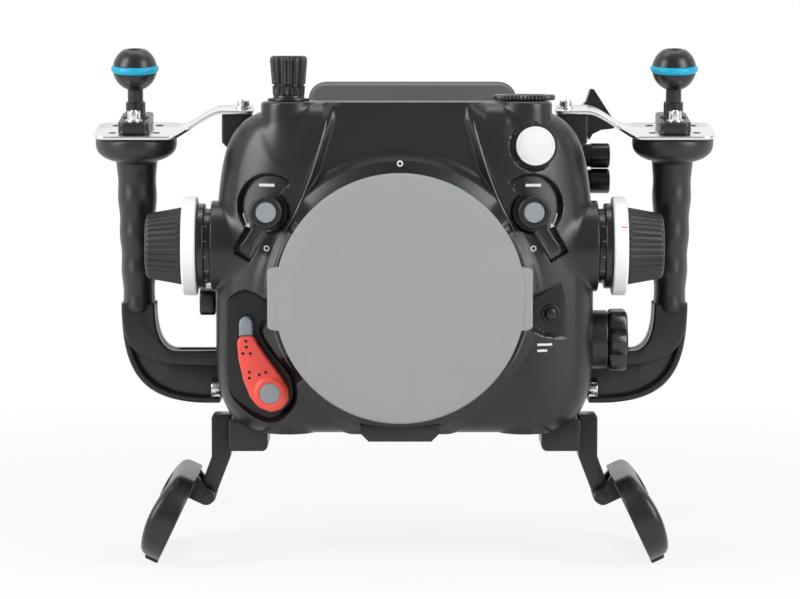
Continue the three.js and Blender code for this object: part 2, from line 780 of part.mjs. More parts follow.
const sealCentre = spigotRadius + gap - portSealSection;
const sealDepth = capThickness + spigotLength / 2;
const capLobes = slab(points2([
  [portX - capLobeReach, -capLobeHalf + wall], [portX - capRadius + overrun, -capLobeHalf],
  [portX + capRadius - overrun, -capLobeHalf], [portX + capLobeReach, -capLobeHalf + wall],
  [portX + capLobeReach, capLobeHalf - wall], [portX + capRadius - overrun, capLobeHalf],
  [portX - capRadius + overrun, capLobeHalf], [portX - capLobeReach, capLobeHalf - wall],
]), capRelief, capThickness, capRelief);
piece('port_cap', join(turned([
  [0, capRelief], [capRadius - capRim, capRelief], [capRadius - capRim, 0],
  [capRadius - capRelief, 0], [capRadius, capRelief],
  [capRadius, capThickness], [spigotRadius, capThickness],
  [spigotRadius, sealDepth - portSealSection - gap],
  [sealCentre - portSealSection - gap, sealDepth - portSealSection - gap],
  [sealCentre - portSealSection - gap, sealDepth + portSealSection + gap],
  [spigotRadius, sealDepth + portSealSection + gap],
  [spigotRadius, capThickness + spigotLength], [0, capThickness + spigotLength],
], 'y', portX, 0, 0, fineSegments), capLobes), capGrey);

function ringSection(radius, section, place, count) {
  return Array.from({ length: count }, (unused, i) => [
    radius + section * Math.cos((2 * Math.PI * i) / count),
    place + section * Math.sin((2 * Math.PI * i) / count),
  ]);
}
const sealSides = 4;
piece('port_cap_seal', turned(
  ringSection(sealCentre, portSealSection, sealDepth, sealSides), 'y', portX, 0, 0, fineSegments,
), rubber);

// Port lock levers, one each side, with their arms down
for (const [name, side] of sides) {
  const x = portX + side * lockX;
  const back = pocketFloor - gap;
  const arm = new THREE.ExtrudeGeometry(new THREE.Shape(points2([
    [-lockArmWidth / 2, 0], [-lockArmWidth / 2, -lockArmReach], [lockArmWidth / 2, -lockArmReach],
    [lockArmWidth, -lockHubRadius / 2], [lockArmWidth, 0],
  ])), { depth: lockProud - overrun, bevelEnabled: false });
  arm.rotateX(Math.PI / 2);
  arm.rotateY(side * -lockRestAngle);
  arm.translate(x, frontFace - gap, lockZ);
  piece(name + '_lock_lever', join(
    turned([
      [0, back - lockPocketDepth - lockProud + gap],
      [lockCapRadius, back - lockPocketDepth - lockProud + gap],
      [lockHubRadius - overrun / 2, back - lockPocketDepth - lockProud + gap],
      [lockHubRadius, back - lockPocketDepth - lockProud + overrun], [lockHubRadius, back], [0, back],
    ], 'y', x, 0, lockZ),
    arm,
    rod(lockShaftRadius, back - overrun, cavityFront + wall, 'y', x, 0, lockZ, smallSegments),
  ), knobBlack);
}

// Lens release button with its inner stop
const releaseFront = frontFace + releasePocketDepth - releaseProud;
piece('lens_release_button', turned([
  [0, releaseFront], [releaseRadius - gap, releaseFront], [releaseRadius, releaseFront + gap],
  [releaseRadius, cavityFront + gap], [releaseRadius + releaseCollar, cavityFront + gap],
  [releaseRadius + releaseCollar, cavityFront + gap + releaseCollar],
  [releaseRadius, cavityFront + gap + releaseCollar], [releaseRadius, cavityFront + wall],
  [0, cavityFront + wall],
], 'y', releaseX, 0, releaseZ, smallSegments), knobBlack);

// Record lever: a long red paddle on its pivot, with a metal tip
const recordShares = [
  [-0.505, 0.865], [-0.224, 0.865], [-0.203, 0.78], [-0.051, 0.643], [0.08, 0.49], [0.176, 0.33],
  [0.25, 0.19], [0.281, 0.049], [0.268, -0.132], [0.16, -0.235], [0.008, -0.284], [-0.11, -0.265],
  [-0.19, -0.208], [-0.285, -0.07], [-0.354, 0.081], [-0.43, 0.26], [-0.484, 0.446], [-0.51, 0.66],
];
const recordBack = frontFace + recordPocketDepth - gap;
const recordFront = recordBack - recordThickness;
piece('record_lever', join(
  cut(
    slab(
      points2(recordShares.map(([x, z]) => [recordX + x * recordLength, recordZ + z * recordLength])),
      recordFront, recordBack, overrun / 2,
    ),
    rod(recordCapRadius + gap, 0, recordFront + overrun, 'y', recordX, 0, recordZ),
  ),
  rod(recordShaftRadius, recordBack - overrun, cavityFront + wall, 'y', recordX, 0, recordZ, smallSegments),
), leverRed);
piece('record_lever_cap', rod(
  recordCapRadius, recordFront - gap, recordFront + overrun - gap, 'y', recordX, 0, recordZ,
), steel);
piece('record_lever_tip', slab(
  roundedRectangle(
    recordPinHalf, recordPinLength / 2, recordPinHalf - gap,
    recordX - recordTipShift, recordZ + recordShares[0][1] * recordLength + gap + recordPinLength / 2,
  ),
  recordFront + overrun, recordBack - gap, gap,
), steel);

// Round badge, a plain disc in its recess
piece('badge_disc', rod(
  badgeRadius, frontFace + badgeRecess - gap - badgeThickness, frontFace + badgeRecess - gap, 'y',
  badgeX, 0, badgeZ, plainSegments,
), white);

// Vacuum valve on the left of the top: its body screws into the case and the ribbed cap closes it
const valveSeat = bodyTop + topBossHeight + gap;
const valveCapBottom = valveSeat + valveFlangeHeight + valveNutHeight / 2 + gap;
const nutCorners = 6;
piece('valve_body', join(
  rod(valveFlangeRadius, valveSeat, valveSeat + valveFlangeHeight, 'z', valveX, topControlDepth, 0),
  rod(
    valveNutHalf, valveSeat + valveFlangeHeight, valveCapBottom - gap, 'z', valveX, topControlDepth, 0,
    nutCorners,
  ),
  rod(
    valveStemRadius, bodyTop - shoulderDrop - 2 * wall, valveCapBottom + valveCapHeight / 2, 'z',
    valveX, topControlDepth, 0, smallSegments,
  ),
), anodised);
const capRing = (radius, depth, height) => ribbedOutline(radius, depth, valveRibs, valveX, topControlDepth)
  .map((point) => new THREE.Vector3(point.x, point.y, height));
piece('valve_cap', cut(
  loft([
    capRing(valveCapBottomRadius, valveRibDepth, valveCapBottom),
    capRing(valveCapRadius, valveRibDepth, valveCapBottom + valveCapHeight - overrun),
    capRing(valveCapRadius - overrun, valveRibDepth, valveCapBottom + valveCapHeight),
  ]),
  rod(
    boreRadius(valveStemRadius), 0, valveCapBottom + valveCapHeight / 2 + gap, 'z',
    valveX, topControlDepth, 0, smallSegments,
  ),
), knobBlack);

// Flat dial on the right of the top, on its shaft
const dialBottom = bodyTop + topBossHeight + gap;
piece('top_dial', join(
  floorSlab(
    ribbedOutline(dialRadius, dialKnurlDepth, dialKnurls, dialX, topControlDepth),
    dialBottom, dialBottom + dialThickness,
  ),
  rod(
    dialShaftRadius, bodyTop - shoulderDrop - 2 * wall, dialBottom + overrun, 'z',
    dialX, topControlDepth, 0, smallSegments,
  ),
), knobBlack);

// A spur gear outline: straight-sided teeth thinned by the backlash, the first one centred on the turn
function gearOutline(teeth, turn) {
  const pitchRadius = (gearModule * teeth) / 2;
  const tip = pitchRadius + addendumShare * gearModule - gap / 2;
  const root = pitchRadius - dedendumShare * gearModule;
  const pitchAngle = (2 * Math.PI) / teeth;
  const slack = gearBacklash / pitchRadius;
  const outline = [];
  for (let i = 0; i < teeth; i++) {
    const middle = turn + i * pitchAngle;
    const rootHalf = (toothRootShare * pitchAngle - slack) / 2;
    const tipHalf = (toothTipShare * pitchAngle - slack) / 2;
    for (const [radius, angle] of [[root, -rootHalf], [tip, -tipHalf], [tip, tipHalf], [root, rootHalf]]) {
      outline.push(new THREE.Vector2(radius * Math.cos(middle + angle), radius * Math.sin(middle + angle)));
    }
  }
  return outline;
}

// A gear on an axis across the case; its outline lies in depth (x) and height (y).
function gear(teeth, turn, side, z) {
  const geometry = new THREE.ExtrudeGeometry(new THREE.Shape(gearOutline(teeth, turn)), {
    depth: gearWidth, bevelEnabled: false,
  });
  const standing = new THREE.Matrix4().makeBasis(
    new THREE.Vector3(0, 1, 0), new THREE.Vector3(0, 0, 1), new THREE.Vector3(1, 0, 0),
  );
  geometry.applyMatrix4(standing);
  return geometry.translate(side < 0 ? -gearOuter : gearInner, knobDepth, z);
}

// Focus knobs: index disc on the boss, marking ring and ribbed knob outside it, and inside the case
// a pinion on the knob's shaft that drives an idler on its pin
for (const [name, side] of sides) {
  const discOuter = knobBossReach + gap + indexDiscThickness;
  const ringOuter = discOuter + gap + markingRingThickness;
  const knobInner = ringOuter + gap;
  const knobOuter = knobInner + knobLength;
  const shaftEnd = knobOuter - wall;
  const across = (profile, segments) => turned(
    profile.map(([radius, reach]) => [radius, side * reach]), 'x', 0, knobDepth, knobZ, segments,
  );
  piece(name + '_index_disc', across([
    [knobShaftRadius + 2 * gap, knobBossReach + gap], [indexNeckRadius, knobBossReach + gap],
    [indexNeckRadius, knobBossReach + gap + indexNeckLength],
    [indexDiscRadius, knobBossReach + gap + indexNeckLength],
    [indexDiscRadius, discOuter], [knobShaftRadius + 2 * gap, discOuter],
  ], fineSegments), knobBlack);
  piece(name + '_marking_ring', across([
    [knobHubRadius + gap, discOuter + gap], [markingRingRadius, discOuter + gap],
    [markingRingRadius, ringOuter], [knobHubRadius + gap, ringOuter],
  ], fineSegments), white);
  const knobRing = (radius, reach) => ribbedOutline(radius, knobRibDepth, knobRibs, knobDepth, knobZ)
    .map((point) => new THREE.Vector3(side * reach, point.x, point.y));
  piece(name + '_focus_knob', cut(
    join(
      loft([
        knobRing(knobInnerRadius, knobInner),
        knobRing(knobOuterRadius, knobOuter - overrun / 2),
        knobRing(knobOuterRadius - overrun / 2, knobOuter),
      ]),
      across(
        [[0, discOuter + gap], [knobHubRadius, discOuter + gap], [knobHubRadius, knobInner], [0, knobInner]],
      ),
    ),
    across([[0, discOuter], [knobShaftRadius + gap, discOuter], [knobShaftRadius + gap, shaftEnd + gap],
      [0, shaftEnd + gap]], smallSegments),
  ), knobBlack);
  const collarOuter = bodyHalfWidth - wall - gap;
  piece(name + '_knob_shaft', join(
    across([[0, gearInner], [knobShaftRadius, gearInner], [knobShaftRadius, shaftEnd], [0, shaftEnd]],
      smallSegments),
    across([[0, collarOuter - overrun], [knobShaftRadius + overrun, collarOuter - overrun],
      [knobShaftRadius + overrun, collarOuter], [0, collarOuter]], smallSegments),
    gear(pinionTeeth, -Math.PI / 2, side, knobZ),
  ), brass);
  const idler = join(
    gear(idlerTeeth, Math.PI / 2 + Math.PI / idlerTeeth, side, idlerZ),
    turned([[0, side * (gearOuter - gap)], [idlerHubRadius, side * (gearOuter - gap)],
      [idlerHubRadius, side * collarOuter], [0, side * collarOuter]], 'x', 0, knobDepth, idlerZ),
  );
  piece(name + '_idler_gear', cut(idler, rod(
    boreRadius(idlerPinRadius), side * (gearInner - overrun), side * bodyHalfWidth, 'x', 0, knobDepth, idlerZ,
    smallSegments,
  )), brass);
}

// Rotary latches that hold the back cover: a bar on the left, a lobed knob on the right
const latchPivotDepth = latchDepth - latchHeight / 2;
const barOutline = roundedRectangle(
  latchLength / 2, latchHeight / 2, latchHeight / 4, latchDepth, latchZ,
);
const latchBar = new THREE.ExtrudeGeometry(barOutline, {
  depth: latchThickness, bevelEnabled: false, curveSegments: 3,
}).applyMatrix4(new THREE.Matrix4().makeBasis(
  new THREE.Vector3(0, 1, 0), new THREE.Vector3(0, 0, 1), new THREE.Vector3(1, 0, 0),
)).translate(-latchX, 0, 0);
piece('left_latch', join(
  latchBar,
  rod(latchHeight / 2, -bodyHalfWidth - gap, -latchX + overrun, 'x', 0, latchPivotDepth, latchZ),
  rod(latchShaftRadius, -gearOuter, -latchX + overrun, 'x', 0, latchPivotDepth, latchZ, smallSegments),
), knobBlack);
const starOutline = [];
const starSteps = starLobes * 6;
for (let i = 0; i < starSteps; i++) {
  const angle = (2 * Math.PI * i) / starSteps;
  const reach = starRadius - (starValley * (1 - Math.cos(starLobes * angle))) / 2;
  starOutline.push(new THREE.Vector2(starDepth + reach * Math.cos(angle), starZ + reach * Math.sin(angle)));
}
const starRing = (reach, inset) => offsetOutline(starOutline, -inset)
  .map((point) => new THREE.Vector3(reach, point.x, point.y));
piece('right_latch_knob', join(
  loft([
    starRing(starBossReach, 0),
    starRing(starBossReach + starThickness - overrun, 0),
    starRing(starBossReach + starThickness, overrun),
  ]),
  rod(latchShaftRadius, gearOuter, starBossReach + overrun, 'x', 0, starDepth, starZ, smallSegments),
), knobBlack);

// Handles: a frame bracket with a leaning rod, the grip with its stop, a steel strap back to the case
// and a ball mount on top. Everything above the pivot leans forward together.
const standTop = gripEnd + standHeight;
const strapBottom = standTop + gap;
const ballBaseBottom = strapBottom + strapThickness + gap;
const ballHeight = ballBaseBottom + ballBaseHeight + ballStem;
const strapFlat = strapBottom + strapRise;
const gussetDepth = handleDepth - strapFlat * Math.sin(handleLean);
const ovalCount = 14;
const cuffWidthShare = 0.4;
for (const [name, side] of sides) {
  const leaning = new THREE.Group();
  leaning.position.set(side * handleX, handleDepth, handlePivotZ);
  leaning.rotation.x = handleLean;
  leaning.updateMatrix();
  housing.add(leaning);

  const bodyFace = bodyHalfWidth + gap;
  const armBottom = armTop - armThickness;
  const armInner = handleX - armWidth / 2;
  const armOuter = handleX + armWidth / 2;
  const armSweep = (low, outer) => {
    const shape = new THREE.Shape();
    shape.moveTo(side * bodyFace, armTop);
    shape.lineTo(side * (armInner - armBend / 2), armTop);
    shape.quadraticCurveTo(side * armInner, armTop, side * armInner, armTop + armBend);
    shape.lineTo(side * armInner, handlePivotZ + wall);
    shape.lineTo(side * outer, handlePivotZ + wall);
    shape.lineTo(side * outer, armTop + armBend);
    shape.bezierCurveTo(
      side * outer, (armTop + low) / 2, side * (outer - armBend / 2), low, side * (bodyFace + wall), low,
    );
    shape.lineTo(side * bodyFace, low);
    return shape;
  };
  const aboveGripStart = block(
    -armWidth, armWidth, -armWidth, armWidth, gripStart - gap, gripStart + armWidth,
  ).applyMatrix4(leaning.matrix);
  const frameRod = rod(gripBore - gap, gripStart - gripBore, standTop - gap, 'z', 0, 0, 0, smallSegments)
    .applyMatrix4(leaning.matrix);
  piece(name + '_handle_frame', join(
    cut(
      join(
        slab(
          armSweep(armBottom, armOuter),
          handleDepth - armHalfDepth, handleDepth + armHalfDepth, overrun / 2,
        ),
        slab(
          armSweep(armBottom - armWebDrop, armOuter),
          handleDepth - armWebHalfDepth, handleDepth + armWebHalfDepth,
        ),
        cut(
          slab(
            armSweep(armBottom - armWebDrop, armOuter),
            handleDepth - armRimHalfDepth, handleDepth + armRimHalfDepth,
          ),
          slab(
            armSweep(armBottom - armWebDrop + armRim, armOuter - armRim),
            handleDepth - armHalfDepth, handleDepth + armHalfDepth,
          ),
        ),
      ),
      aboveGripStart,
    ),
    frameRod,
  ), anodised);

  const oval = (height, halfWidth, halfDepth, frontCut = 0) => Array.from(
    { length: ovalCount },
    (unused, i) => {
      const angle = (2 * Math.PI * i) / ovalCount;
      const depth = halfDepth * Math.sin(angle);
      return new THREE.Vector3(
        halfWidth * Math.cos(angle), depth < 0 ? depth * (1 - frontCut / halfDepth) : depth, height,
      );
    },
  );
  const gripSteps = Array.from({ length: gripRings }, (unused, i) => {
    const share = i / (gripRings - 1);
    const groove = (gripGrooveDepth * (1 - Math.cos(2 * Math.PI * gripGrooves * share))) / 2;
    return oval(
      gripStart + share * (gripEnd - gripStart),
      gripHalfWidth - gripTaper * (1 - share) - cuffWidthShare * groove, gripHalfDepth, groove,
    );
  });
  piece(name + '_grip', cut(
    loft([
      ...gripSteps,
      oval(gripEnd + standWaist, standHalfWidth - overrun, standHalfDepth - overrun),
      oval(gripEnd + standWaist + overrun, standHalfWidth, standHalfDepth),
      oval(standTop - overrun, standHalfWidth, standHalfDepth),
      oval(standTop, standHalfWidth - overrun, standHalfDepth - overrun),
    ]),
    rod(gripBore, 0, standTop + overrun, 'z', 0, 0, 0, smallSegments),
  ), rubber, leaning);

  const local = (x) => side * (x - handleX);
  const strapSide = slab(points2([
    [local(strapInner), strapFlat], [local(strapBendInner), strapFlat],
    [local(plateInner), strapBottom], [local(plateOuter), strapBottom],
    [local(plateOuter), strapBottom + strapThickness],
    [local(plateInner), strapBottom + strapThickness],
    [local(strapBendInner), strapFlat + strapThickness], [local(strapInner), strapFlat + strapThickness],
  ]), -plateHalfDepth, plateHalfDepth);
  const plan = join(
    floorSlab(
      roundedRectangle(plateHalfWidth, plateHalfDepth, plateCorner, 0, 0),
      0, strapFlat + armWidth,
    ),
    block(local(strapInner), local(plateInner + plateCorner), -strapHalfWidth, strapHalfWidth,
      0, strapFlat + armWidth),
  );
  piece(name + '_strap', solid(strapSide).intersect(plan), steel, leaning);

  const aboveStrap = block(
    -handleX, handleX, -armWidth, armWidth, strapFlat - gap, strapFlat + armWidth,
  ).applyMatrix4(leaning.matrix);
  piece(name + '_gusset', cut(
    slab(points2([
      [side * gussetInner, bodyTop + shoulderDrop], [side * gussetOuter, bodyTop + shoulderDrop],
      [side * gussetOuter, gussetBottom + wall], [side * (gussetOuter - wall), gussetBottom],
      [side * gussetInner, gussetBottom],
    ]), gussetDepth - gussetHalfDepth, gussetDepth + gussetHalfDepth),
    slab(offsetOutline(caseOutline, gap), frontFace, coverBack),
    aboveStrap,
  ), anodised);

  const ballArc = (from, to, count) => Array.from({ length: count + 1 }, (unused, i) => {
    const angle = from + ((to - from) * i) / count;
    return [ballRadius * Math.cos(angle), ballHeight + ballRadius * Math.sin(angle)];
  });
  const grooveHalf = ballSealSection + gap;
  const grooveAngle = Math.asin(grooveHalf / ballRadius);
  const grooveRadius = ballSealRadius - ballSealSection - gap;
  piece(name + '_ball_mount', join(
    floorSlab(
      roundedRectangle(ballBaseHalfWidth, ballBaseHalfDepth, ballBaseHalfWidth / 2),
      ballBaseBottom, ballBaseBottom + ballBaseHeight,
    ),
    turned([
      [0, ballBaseBottom + ballBaseHeight / 2], [stemRadius, ballBaseBottom + ballBaseHeight / 2],
      [stemRadius, ballBaseBottom + ballBaseHeight + stemStep],
      [stemNeckRadius, ballBaseBottom + ballBaseHeight + stemStep + overrun / 2],
      ...ballArc(-Math.acos(stemNeckRadius / ballRadius), -grooveAngle, ballSteps),
      [grooveRadius, ballHeight - grooveHalf], [grooveRadius, ballHeight + grooveHalf],
      ...ballArc(grooveAngle, Math.acos(ballFlatRadius / ballRadius), ballSteps),
      [0, ballHeight + ballRadius * Math.sin(Math.acos(ballFlatRadius / ballRadius))],
    ], 'z', 0, 0, 0),
  ), anodised, leaning);
  piece(name + '_ball_seal', turned(
    ringSection(ballSealRadius, ballSealSection, ballHeight, ballSealSides), 'z', 0, 0, 0,
  ), sealBlue, leaning);
}

// Legs: a bracket under each side of the case and a folding loop with a rubber sole
for (const [name, side] of sides) {
  const bracketInner = baseOuter;
  const bracketOuter = baseOuter + legBracketThickness;
  const baseBlock = slab(points2([
    [side * baseInner, -bodyBottom + wall], [side * (baseOuter + gap), -bodyBottom + wall],
    [side * (baseOuter + gap), baseBottom], [side * (baseInner + overrun), baseBottom],
    [side * baseInner, baseBottom + overrun],
  ]), legDepth - baseHalfDepth, legDepth + baseHalfDepth);
  const plate = slab(points2([
    [side * bracketInner, legBracketTop], [side * bracketOuter, legBracketTop],
    [side * bracketOuter, legBracketBend], [side * (legPivotX + legKnuckleRadius), legPivotZ],
    [side * (legPivotX - legKnuckleRadius), legPivotZ], [side * bracketInner, legBracketBend],
  ]), legDepth - legBracketHalfDepth, legDepth + legBracketHalfDepth);
  const lugOuter = legBracketHalfDepth + gap + legLugThickness;
  piece(name + '_leg_bracket', join(
    cut(
      join(baseBlock, plate),
      slab(offsetOutline(caseOutline, gap), frontFace, coverBack),
    ),
    rod(legKnuckleRadius, -legBracketHalfDepth, legBracketHalfDepth, 'y',
      side * legPivotX, legDepth, legPivotZ),
    rod(legPinRadius, -lugOuter, lugOuter, 'y', side * legPivotX, legDepth, legPivotZ, smallSegments),
  ), anodised);

  const leg = new THREE.Group();
  leg.position.set(side * legPivotX, legDepth, legPivotZ);
  leg.rotation.y = -side * legSplay;
  housing.add(leg);
  const standing = new THREE.Matrix4().makeBasis(
    new THREE.Vector3(0, 1, 0), new THREE.Vector3(0, 0, 1), new THREE.Vector3(1, 0, 0),
  );
  const metalHalf = (legHeight - legPadThickness - gap) / 2;
  const middle = legRise - metalHalf;
  const track = roundedRectangle(legLength / 2, metalHalf, metalHalf, 0, middle);
  track.holes.push(roundedRectangle(
    legLength / 2 - legBar, metalHalf - legBar, metalHalf - legBar, 0, middle,
  ));
  const loop = new THREE.ExtrudeGeometry(track, {
    depth: legThickness, bevelEnabled: false, curveSegments: outlineDivisions,
  }).applyMatrix4(standing).translate(side < 0 ? -legStandoff - legThickness : legStandoff, 0, 0);
  const lugs = [-1, 1].map((end) => {
    const nearFace = end * (legBracketHalfDepth + gap);
    const farFace = end * lugOuter;
    const [front, back] = [Math.min(nearFace, farFace), Math.max(nearFace, farFace)];
    return join(
      rod(legLugRadius, front, back, 'y', 0, 0, 0, smallSegments),
      slab(points2([
        [0, -legLugRadius], [side * (legStandoff + overrun), -legBar / 2],
        [side * (legStandoff + overrun), legRise], [side * legStandoff, legRise], [0, legLugRadius],
      ]), front, back),
    );
  });
  piece(name + '_leg_loop', cut(
    join(loop, ...lugs),
    rod(boreRadius(legPinRadius), -legLength, legLength, 'y', 0, 0, 0, smallSegments),
  ), anodised, leg);
  const soleHalf = legLength / 2 - metalHalf;
  const soleTop = legRise - legHeight + legPadThickness;
  piece(name + '_leg_pad', slab(points2([
    [side * legStandoff, soleTop - legPadThickness + legPadEdge],
    [side * (legStandoff + legPadEdge), soleTop - legPadThickness],
    [side * (legStandoff + legThickness - legPadEdge), soleTop - legPadThickness],
    [side * (legStandoff + legThickness), soleTop - legPadThickness + legPadEdge],
    [side * (legStandoff + legThickness), soleTop], [side * legStandoff, soleTop],
  ]), -soleHalf, soleHalf), rubber, leg);
}

// Back cover: a shallow tub with a hump on top, a window opening and a lip that carries the main seal
const coverOutline = [
  [splitDepth + gap, 0], [coverBack - coverRound, 0],
  [coverBack - coverRound / 3, coverRound / 3], [coverBack, coverRound],
];
const hump = slab(
  roundedRectangle(humpHalf, humpTop - bodyTop + humpCorner, humpCorner, humpX, bodyTop - humpCorner),
  humpFront, coverBack - gap, overrun,
);
const lipInset = wall + gap;
const lipWall = 4;
const sealFront = splitDepth - spigotDepth + mainSealInset;
const lip = outlineLoft(caseOutline, [
  [splitDepth - spigotDepth, lipInset], [splitDepth + overrun, lipInset],
]);
const sealGroove = cut(
  outlineLoft(
    caseOutline,
    [[sealFront - gap, lipInset - gap], [sealFront + mainSealWidth + gap, lipInset - gap]],
  ),
  outlineLoft(caseOutline, [
    [sealFront - overrun, lipInset + mainSealWidth + gap],
    [sealFront + mainSealWidth + overrun, lipInset + mainSealWidth + gap],
  ]),
);
const coverHollow = outlineLoft(caseOutline, [
  [splitDepth - spigotDepth - overrun, lipInset + lipWall], [coverBack - coverWall, lipInset + lipWall],
]);
const thumbEar = join(
  rod(thumbHubRadius, thumbFront - gap - thumbEarThickness, thumbFront - gap, 'y', thumbX, 0, thumbZ),
  slab(points2([
    [thumbX - thumbHubRadius, thumbZ], [thumbX, thumbZ + thumbHubRadius],
    [thumbX - 2 * wall, thumbZ - wall / 2],
    [thumbX - 2 * wall, thumbZ - 3 * wall], [thumbX, thumbZ - 3 * wall], [thumbX + thumbHubRadius, thumbZ],
  ].reverse()), thumbFront - gap - thumbEarThickness, thumbFront - gap),
);
const sideButtonHeights = [['upper', sideButtonUpperZ], ['lower', sideButtonLowerZ]];
const sideButtonBosses = sideButtonHeights.map(([, z]) => rod(
  sideBossRadius, bodyHalfWidth - lipInset - lipWall, sideBossReach, 'x', 0, sideButtonDepth, z,
));
const buttonHeights = [['menu', 0], ['play', 1], ['info', 2]];
const buttonPlace = (step) => buttonTopZ - step * buttonPitch;
const windowHole = slab(
  roundedRectangle(
    windowHalfWidth - windowRebate, windowHalfHeight - windowRebate, windowRebate, windowX, windowZ,
  ), coverBack - 2 * coverWall, coverBack + overrun,
);
const windowSeat = slab(
  roundedRectangle(windowHalfWidth + gap, windowHalfHeight + gap, windowRebate, windowX, windowZ),
  coverBack - windowThickness - gap, coverBack + overrun,
);
const coverBores = [
  ...buttonHeights.map(([, step]) => rod(
    buttonStemRadius + gap, splitDepth, coverBack + overrun, 'y', buttonX, 0, buttonPlace(step),
    smallSegments,
  )),
  rod(boreRadius(wheelShaftRadius), splitDepth, coverBack + overrun, 'y', wheelX, 0, wheelZ, smallSegments),
  rod(eyepieceBore, splitDepth, coverBack + overrun, 'y', eyepieceX, 0, eyepieceZ),
  rod(boreRadius(thumbPinRadius), humpFront - overrun, thumbFront, 'y', thumbX, 0, thumbZ, smallSegments),
  ...sideButtonHeights.map(([, z]) => rod(
    sideButtonStemRadius + gap, gearOuter - 2 * wall, sideBossReach + overrun, 'x', 0, sideButtonDepth, z,
    smallSegments,
  )),
];
piece('back_cover', cut(
  join(
    outlineLoft(caseOutline, coverOutline), hump, lip, thumbEar, ...sideButtonBosses,
  ),
  coverHollow, sealGroove, windowHole, windowSeat, ...coverBores,
), anodised);
piece('main_seal', cut(
  outlineLoft(caseOutline, [[sealFront, lipInset], [sealFront + mainSealWidth, lipInset]]),
  outlineLoft(caseOutline, [
    [sealFront - overrun, lipInset + mainSealWidth],
    [sealFront + mainSealWidth + overrun, lipInset + mainSealWidth],
  ]),
), rubber);
piece('rear_window', slab(
  roundedRectangle(windowHalfWidth, windowHalfHeight, windowRebate, windowX, windowZ),
  coverBack - windowThickness, coverBack, gap,
), clear);

// Viewfinder eyepiece and its lens
const eyeFront = coverBack + gap;
const eyeBack = eyeFront + eyepieceLength;
piece('eyepiece', turned([
  [eyepieceBore, eyeFront], [eyepieceRadius - overrun, eyeFront], [eyepieceWaist, eyeFront + wall],
  [eyepieceWaist, eyeBack - 2 * wall], [eyepieceRadius, eyeBack - wall], [eyepieceRadius, eyeBack - overrun],
  [eyepieceRadius - overrun, eyeBack], [eyepieceBore + overrun, eyeBack],
  [eyepieceBore + overrun, eyeBack - overrun - eyeLensThickness - gap],
  [eyepieceBore, eyeBack - overrun - eyeLensThickness - gap],
], 'y', eyepieceX, 0, eyepieceZ, plainSegments + smallSegments), anodised);
piece('eyepiece_lens', rod(
  eyepieceBore + overrun - gap, eyeBack - overrun - eyeLensThickness, eyeBack - overrun, 'y',
  eyepieceX, 0, eyepieceZ,
), clear);

// Push buttons on the back, each with a stem through the cover and a stop inside
for (const [name, step] of buttonHeights) {
  const under = coverBack + gap + buttonTravel;
  const inside = coverBack - coverWall - gap;
  piece(name + '_button', turned([
    [0, inside - buttonTravel], [buttonRadius - gap, inside - buttonTravel], [buttonRadius - gap, inside],
    [buttonStemRadius, inside], [buttonStemRadius, under], [buttonRadius, under],
    [buttonRadius, under + buttonProud - gap], [buttonRadius - gap, under + buttonProud],
    [0, under + buttonProud],
  ], 'y', buttonX, 0, buttonPlace(step), smallSegments + 2), knobBlack);
}
const wheelFront = coverBack + gap;
const wheelOutline = ribbedOutline(wheelRadius, wheelKnurlDepth, wheelKnurls, wheelX, wheelZ);
piece('control_wheel', join(
  slab(wheelOutline, wheelFront, wheelFront + wheelThickness),
  rod(
    wheelShaftRadius, coverBack - coverWall - wall, wheelFront + overrun, 'y', wheelX, 0, wheelZ,
    smallSegments,
  ),
), knobBlack);

// Thumb lever on the right shoulder and the two side buttons below it
piece('thumb_lever', join(
  slab(
    points2(thumbShares.map(([x, z]) => [thumbX + x * thumbHubRadius, thumbZ + z * thumbHubRadius])),
    thumbFront, thumbBack,
  ),
  rod(thumbHubRadius, thumbFront, thumbBack, 'y', thumbX, 0, thumbZ),
  rod(thumbPinRadius, thumbFront - thumbEarThickness, thumbBack, 'y', thumbX, 0, thumbZ, smallSegments),
), knobBlack);
for (const [name, z] of sideButtonHeights) {
  const inside = bodyHalfWidth - lipInset - lipWall;
  const under = sideBossReach + gap + buttonTravel;
  piece('side_button_' + name, turned([
    [0, inside - 2 * wall], [sideButtonStemRadius, inside - 2 * wall], [sideButtonStemRadius, under],
    [sideButtonRadius, under], [sideButtonRadius, sideButtonReach - gap],
    [sideButtonRadius - gap, sideButtonReach],
    [0, sideButtonReach],
  ], 'x', 0, sideButtonDepth, z, smallSegments + 2), knobBlack);
}

// Inside: the camera tray on its rails with its captive screw, and the leak sensor with its battery
const trayScrewDepth = (trayFront + trayBack) / 2;
const trayBottom = trayTop - trayThickness;
piece('camera_tray', cut(
  block(-trayHalfWidth, trayHalfWidth, trayFront, trayBack, trayBottom, trayTop),
  rod(
    boreRadius(trayScrewRadius), trayBottom - overrun, trayTop + overrun, 'z', 0, trayScrewDepth, 0,
    smallSegments,
  ),
), anodised);
piece('tray_screw', turned([
  [0, trayBottom - gap - trayScrewHead], [trayScrewHeadRadius, trayBottom - gap - trayScrewHead],
  [trayScrewHeadRadius, trayBottom - gap], [trayScrewRadius, trayBottom - gap],
  [trayScrewRadius, trayTop + trayScrewReach], [0, trayTop + trayScrewReach],
], 'z', 0, trayScrewDepth, 0), steel);
const sensorBottom = -bodyBottom + wall + gap;
piece('leak_sensor_board', block(
  sensorX - sensorHalfWidth, sensorX + sensorHalfWidth, sensorFront, sensorBack, sensorBottom,
  sensorBottom + sensorThickness,
), boardGreen);
const batteryBottom = sensorBottom + sensorThickness + gap;
piece('sensor_battery', rod(
  batteryRadius, batteryBottom, batteryBottom + batteryThickness, 'z',
  sensorX, (sensorFront + sensorBack) / 2, 0,
), steel);

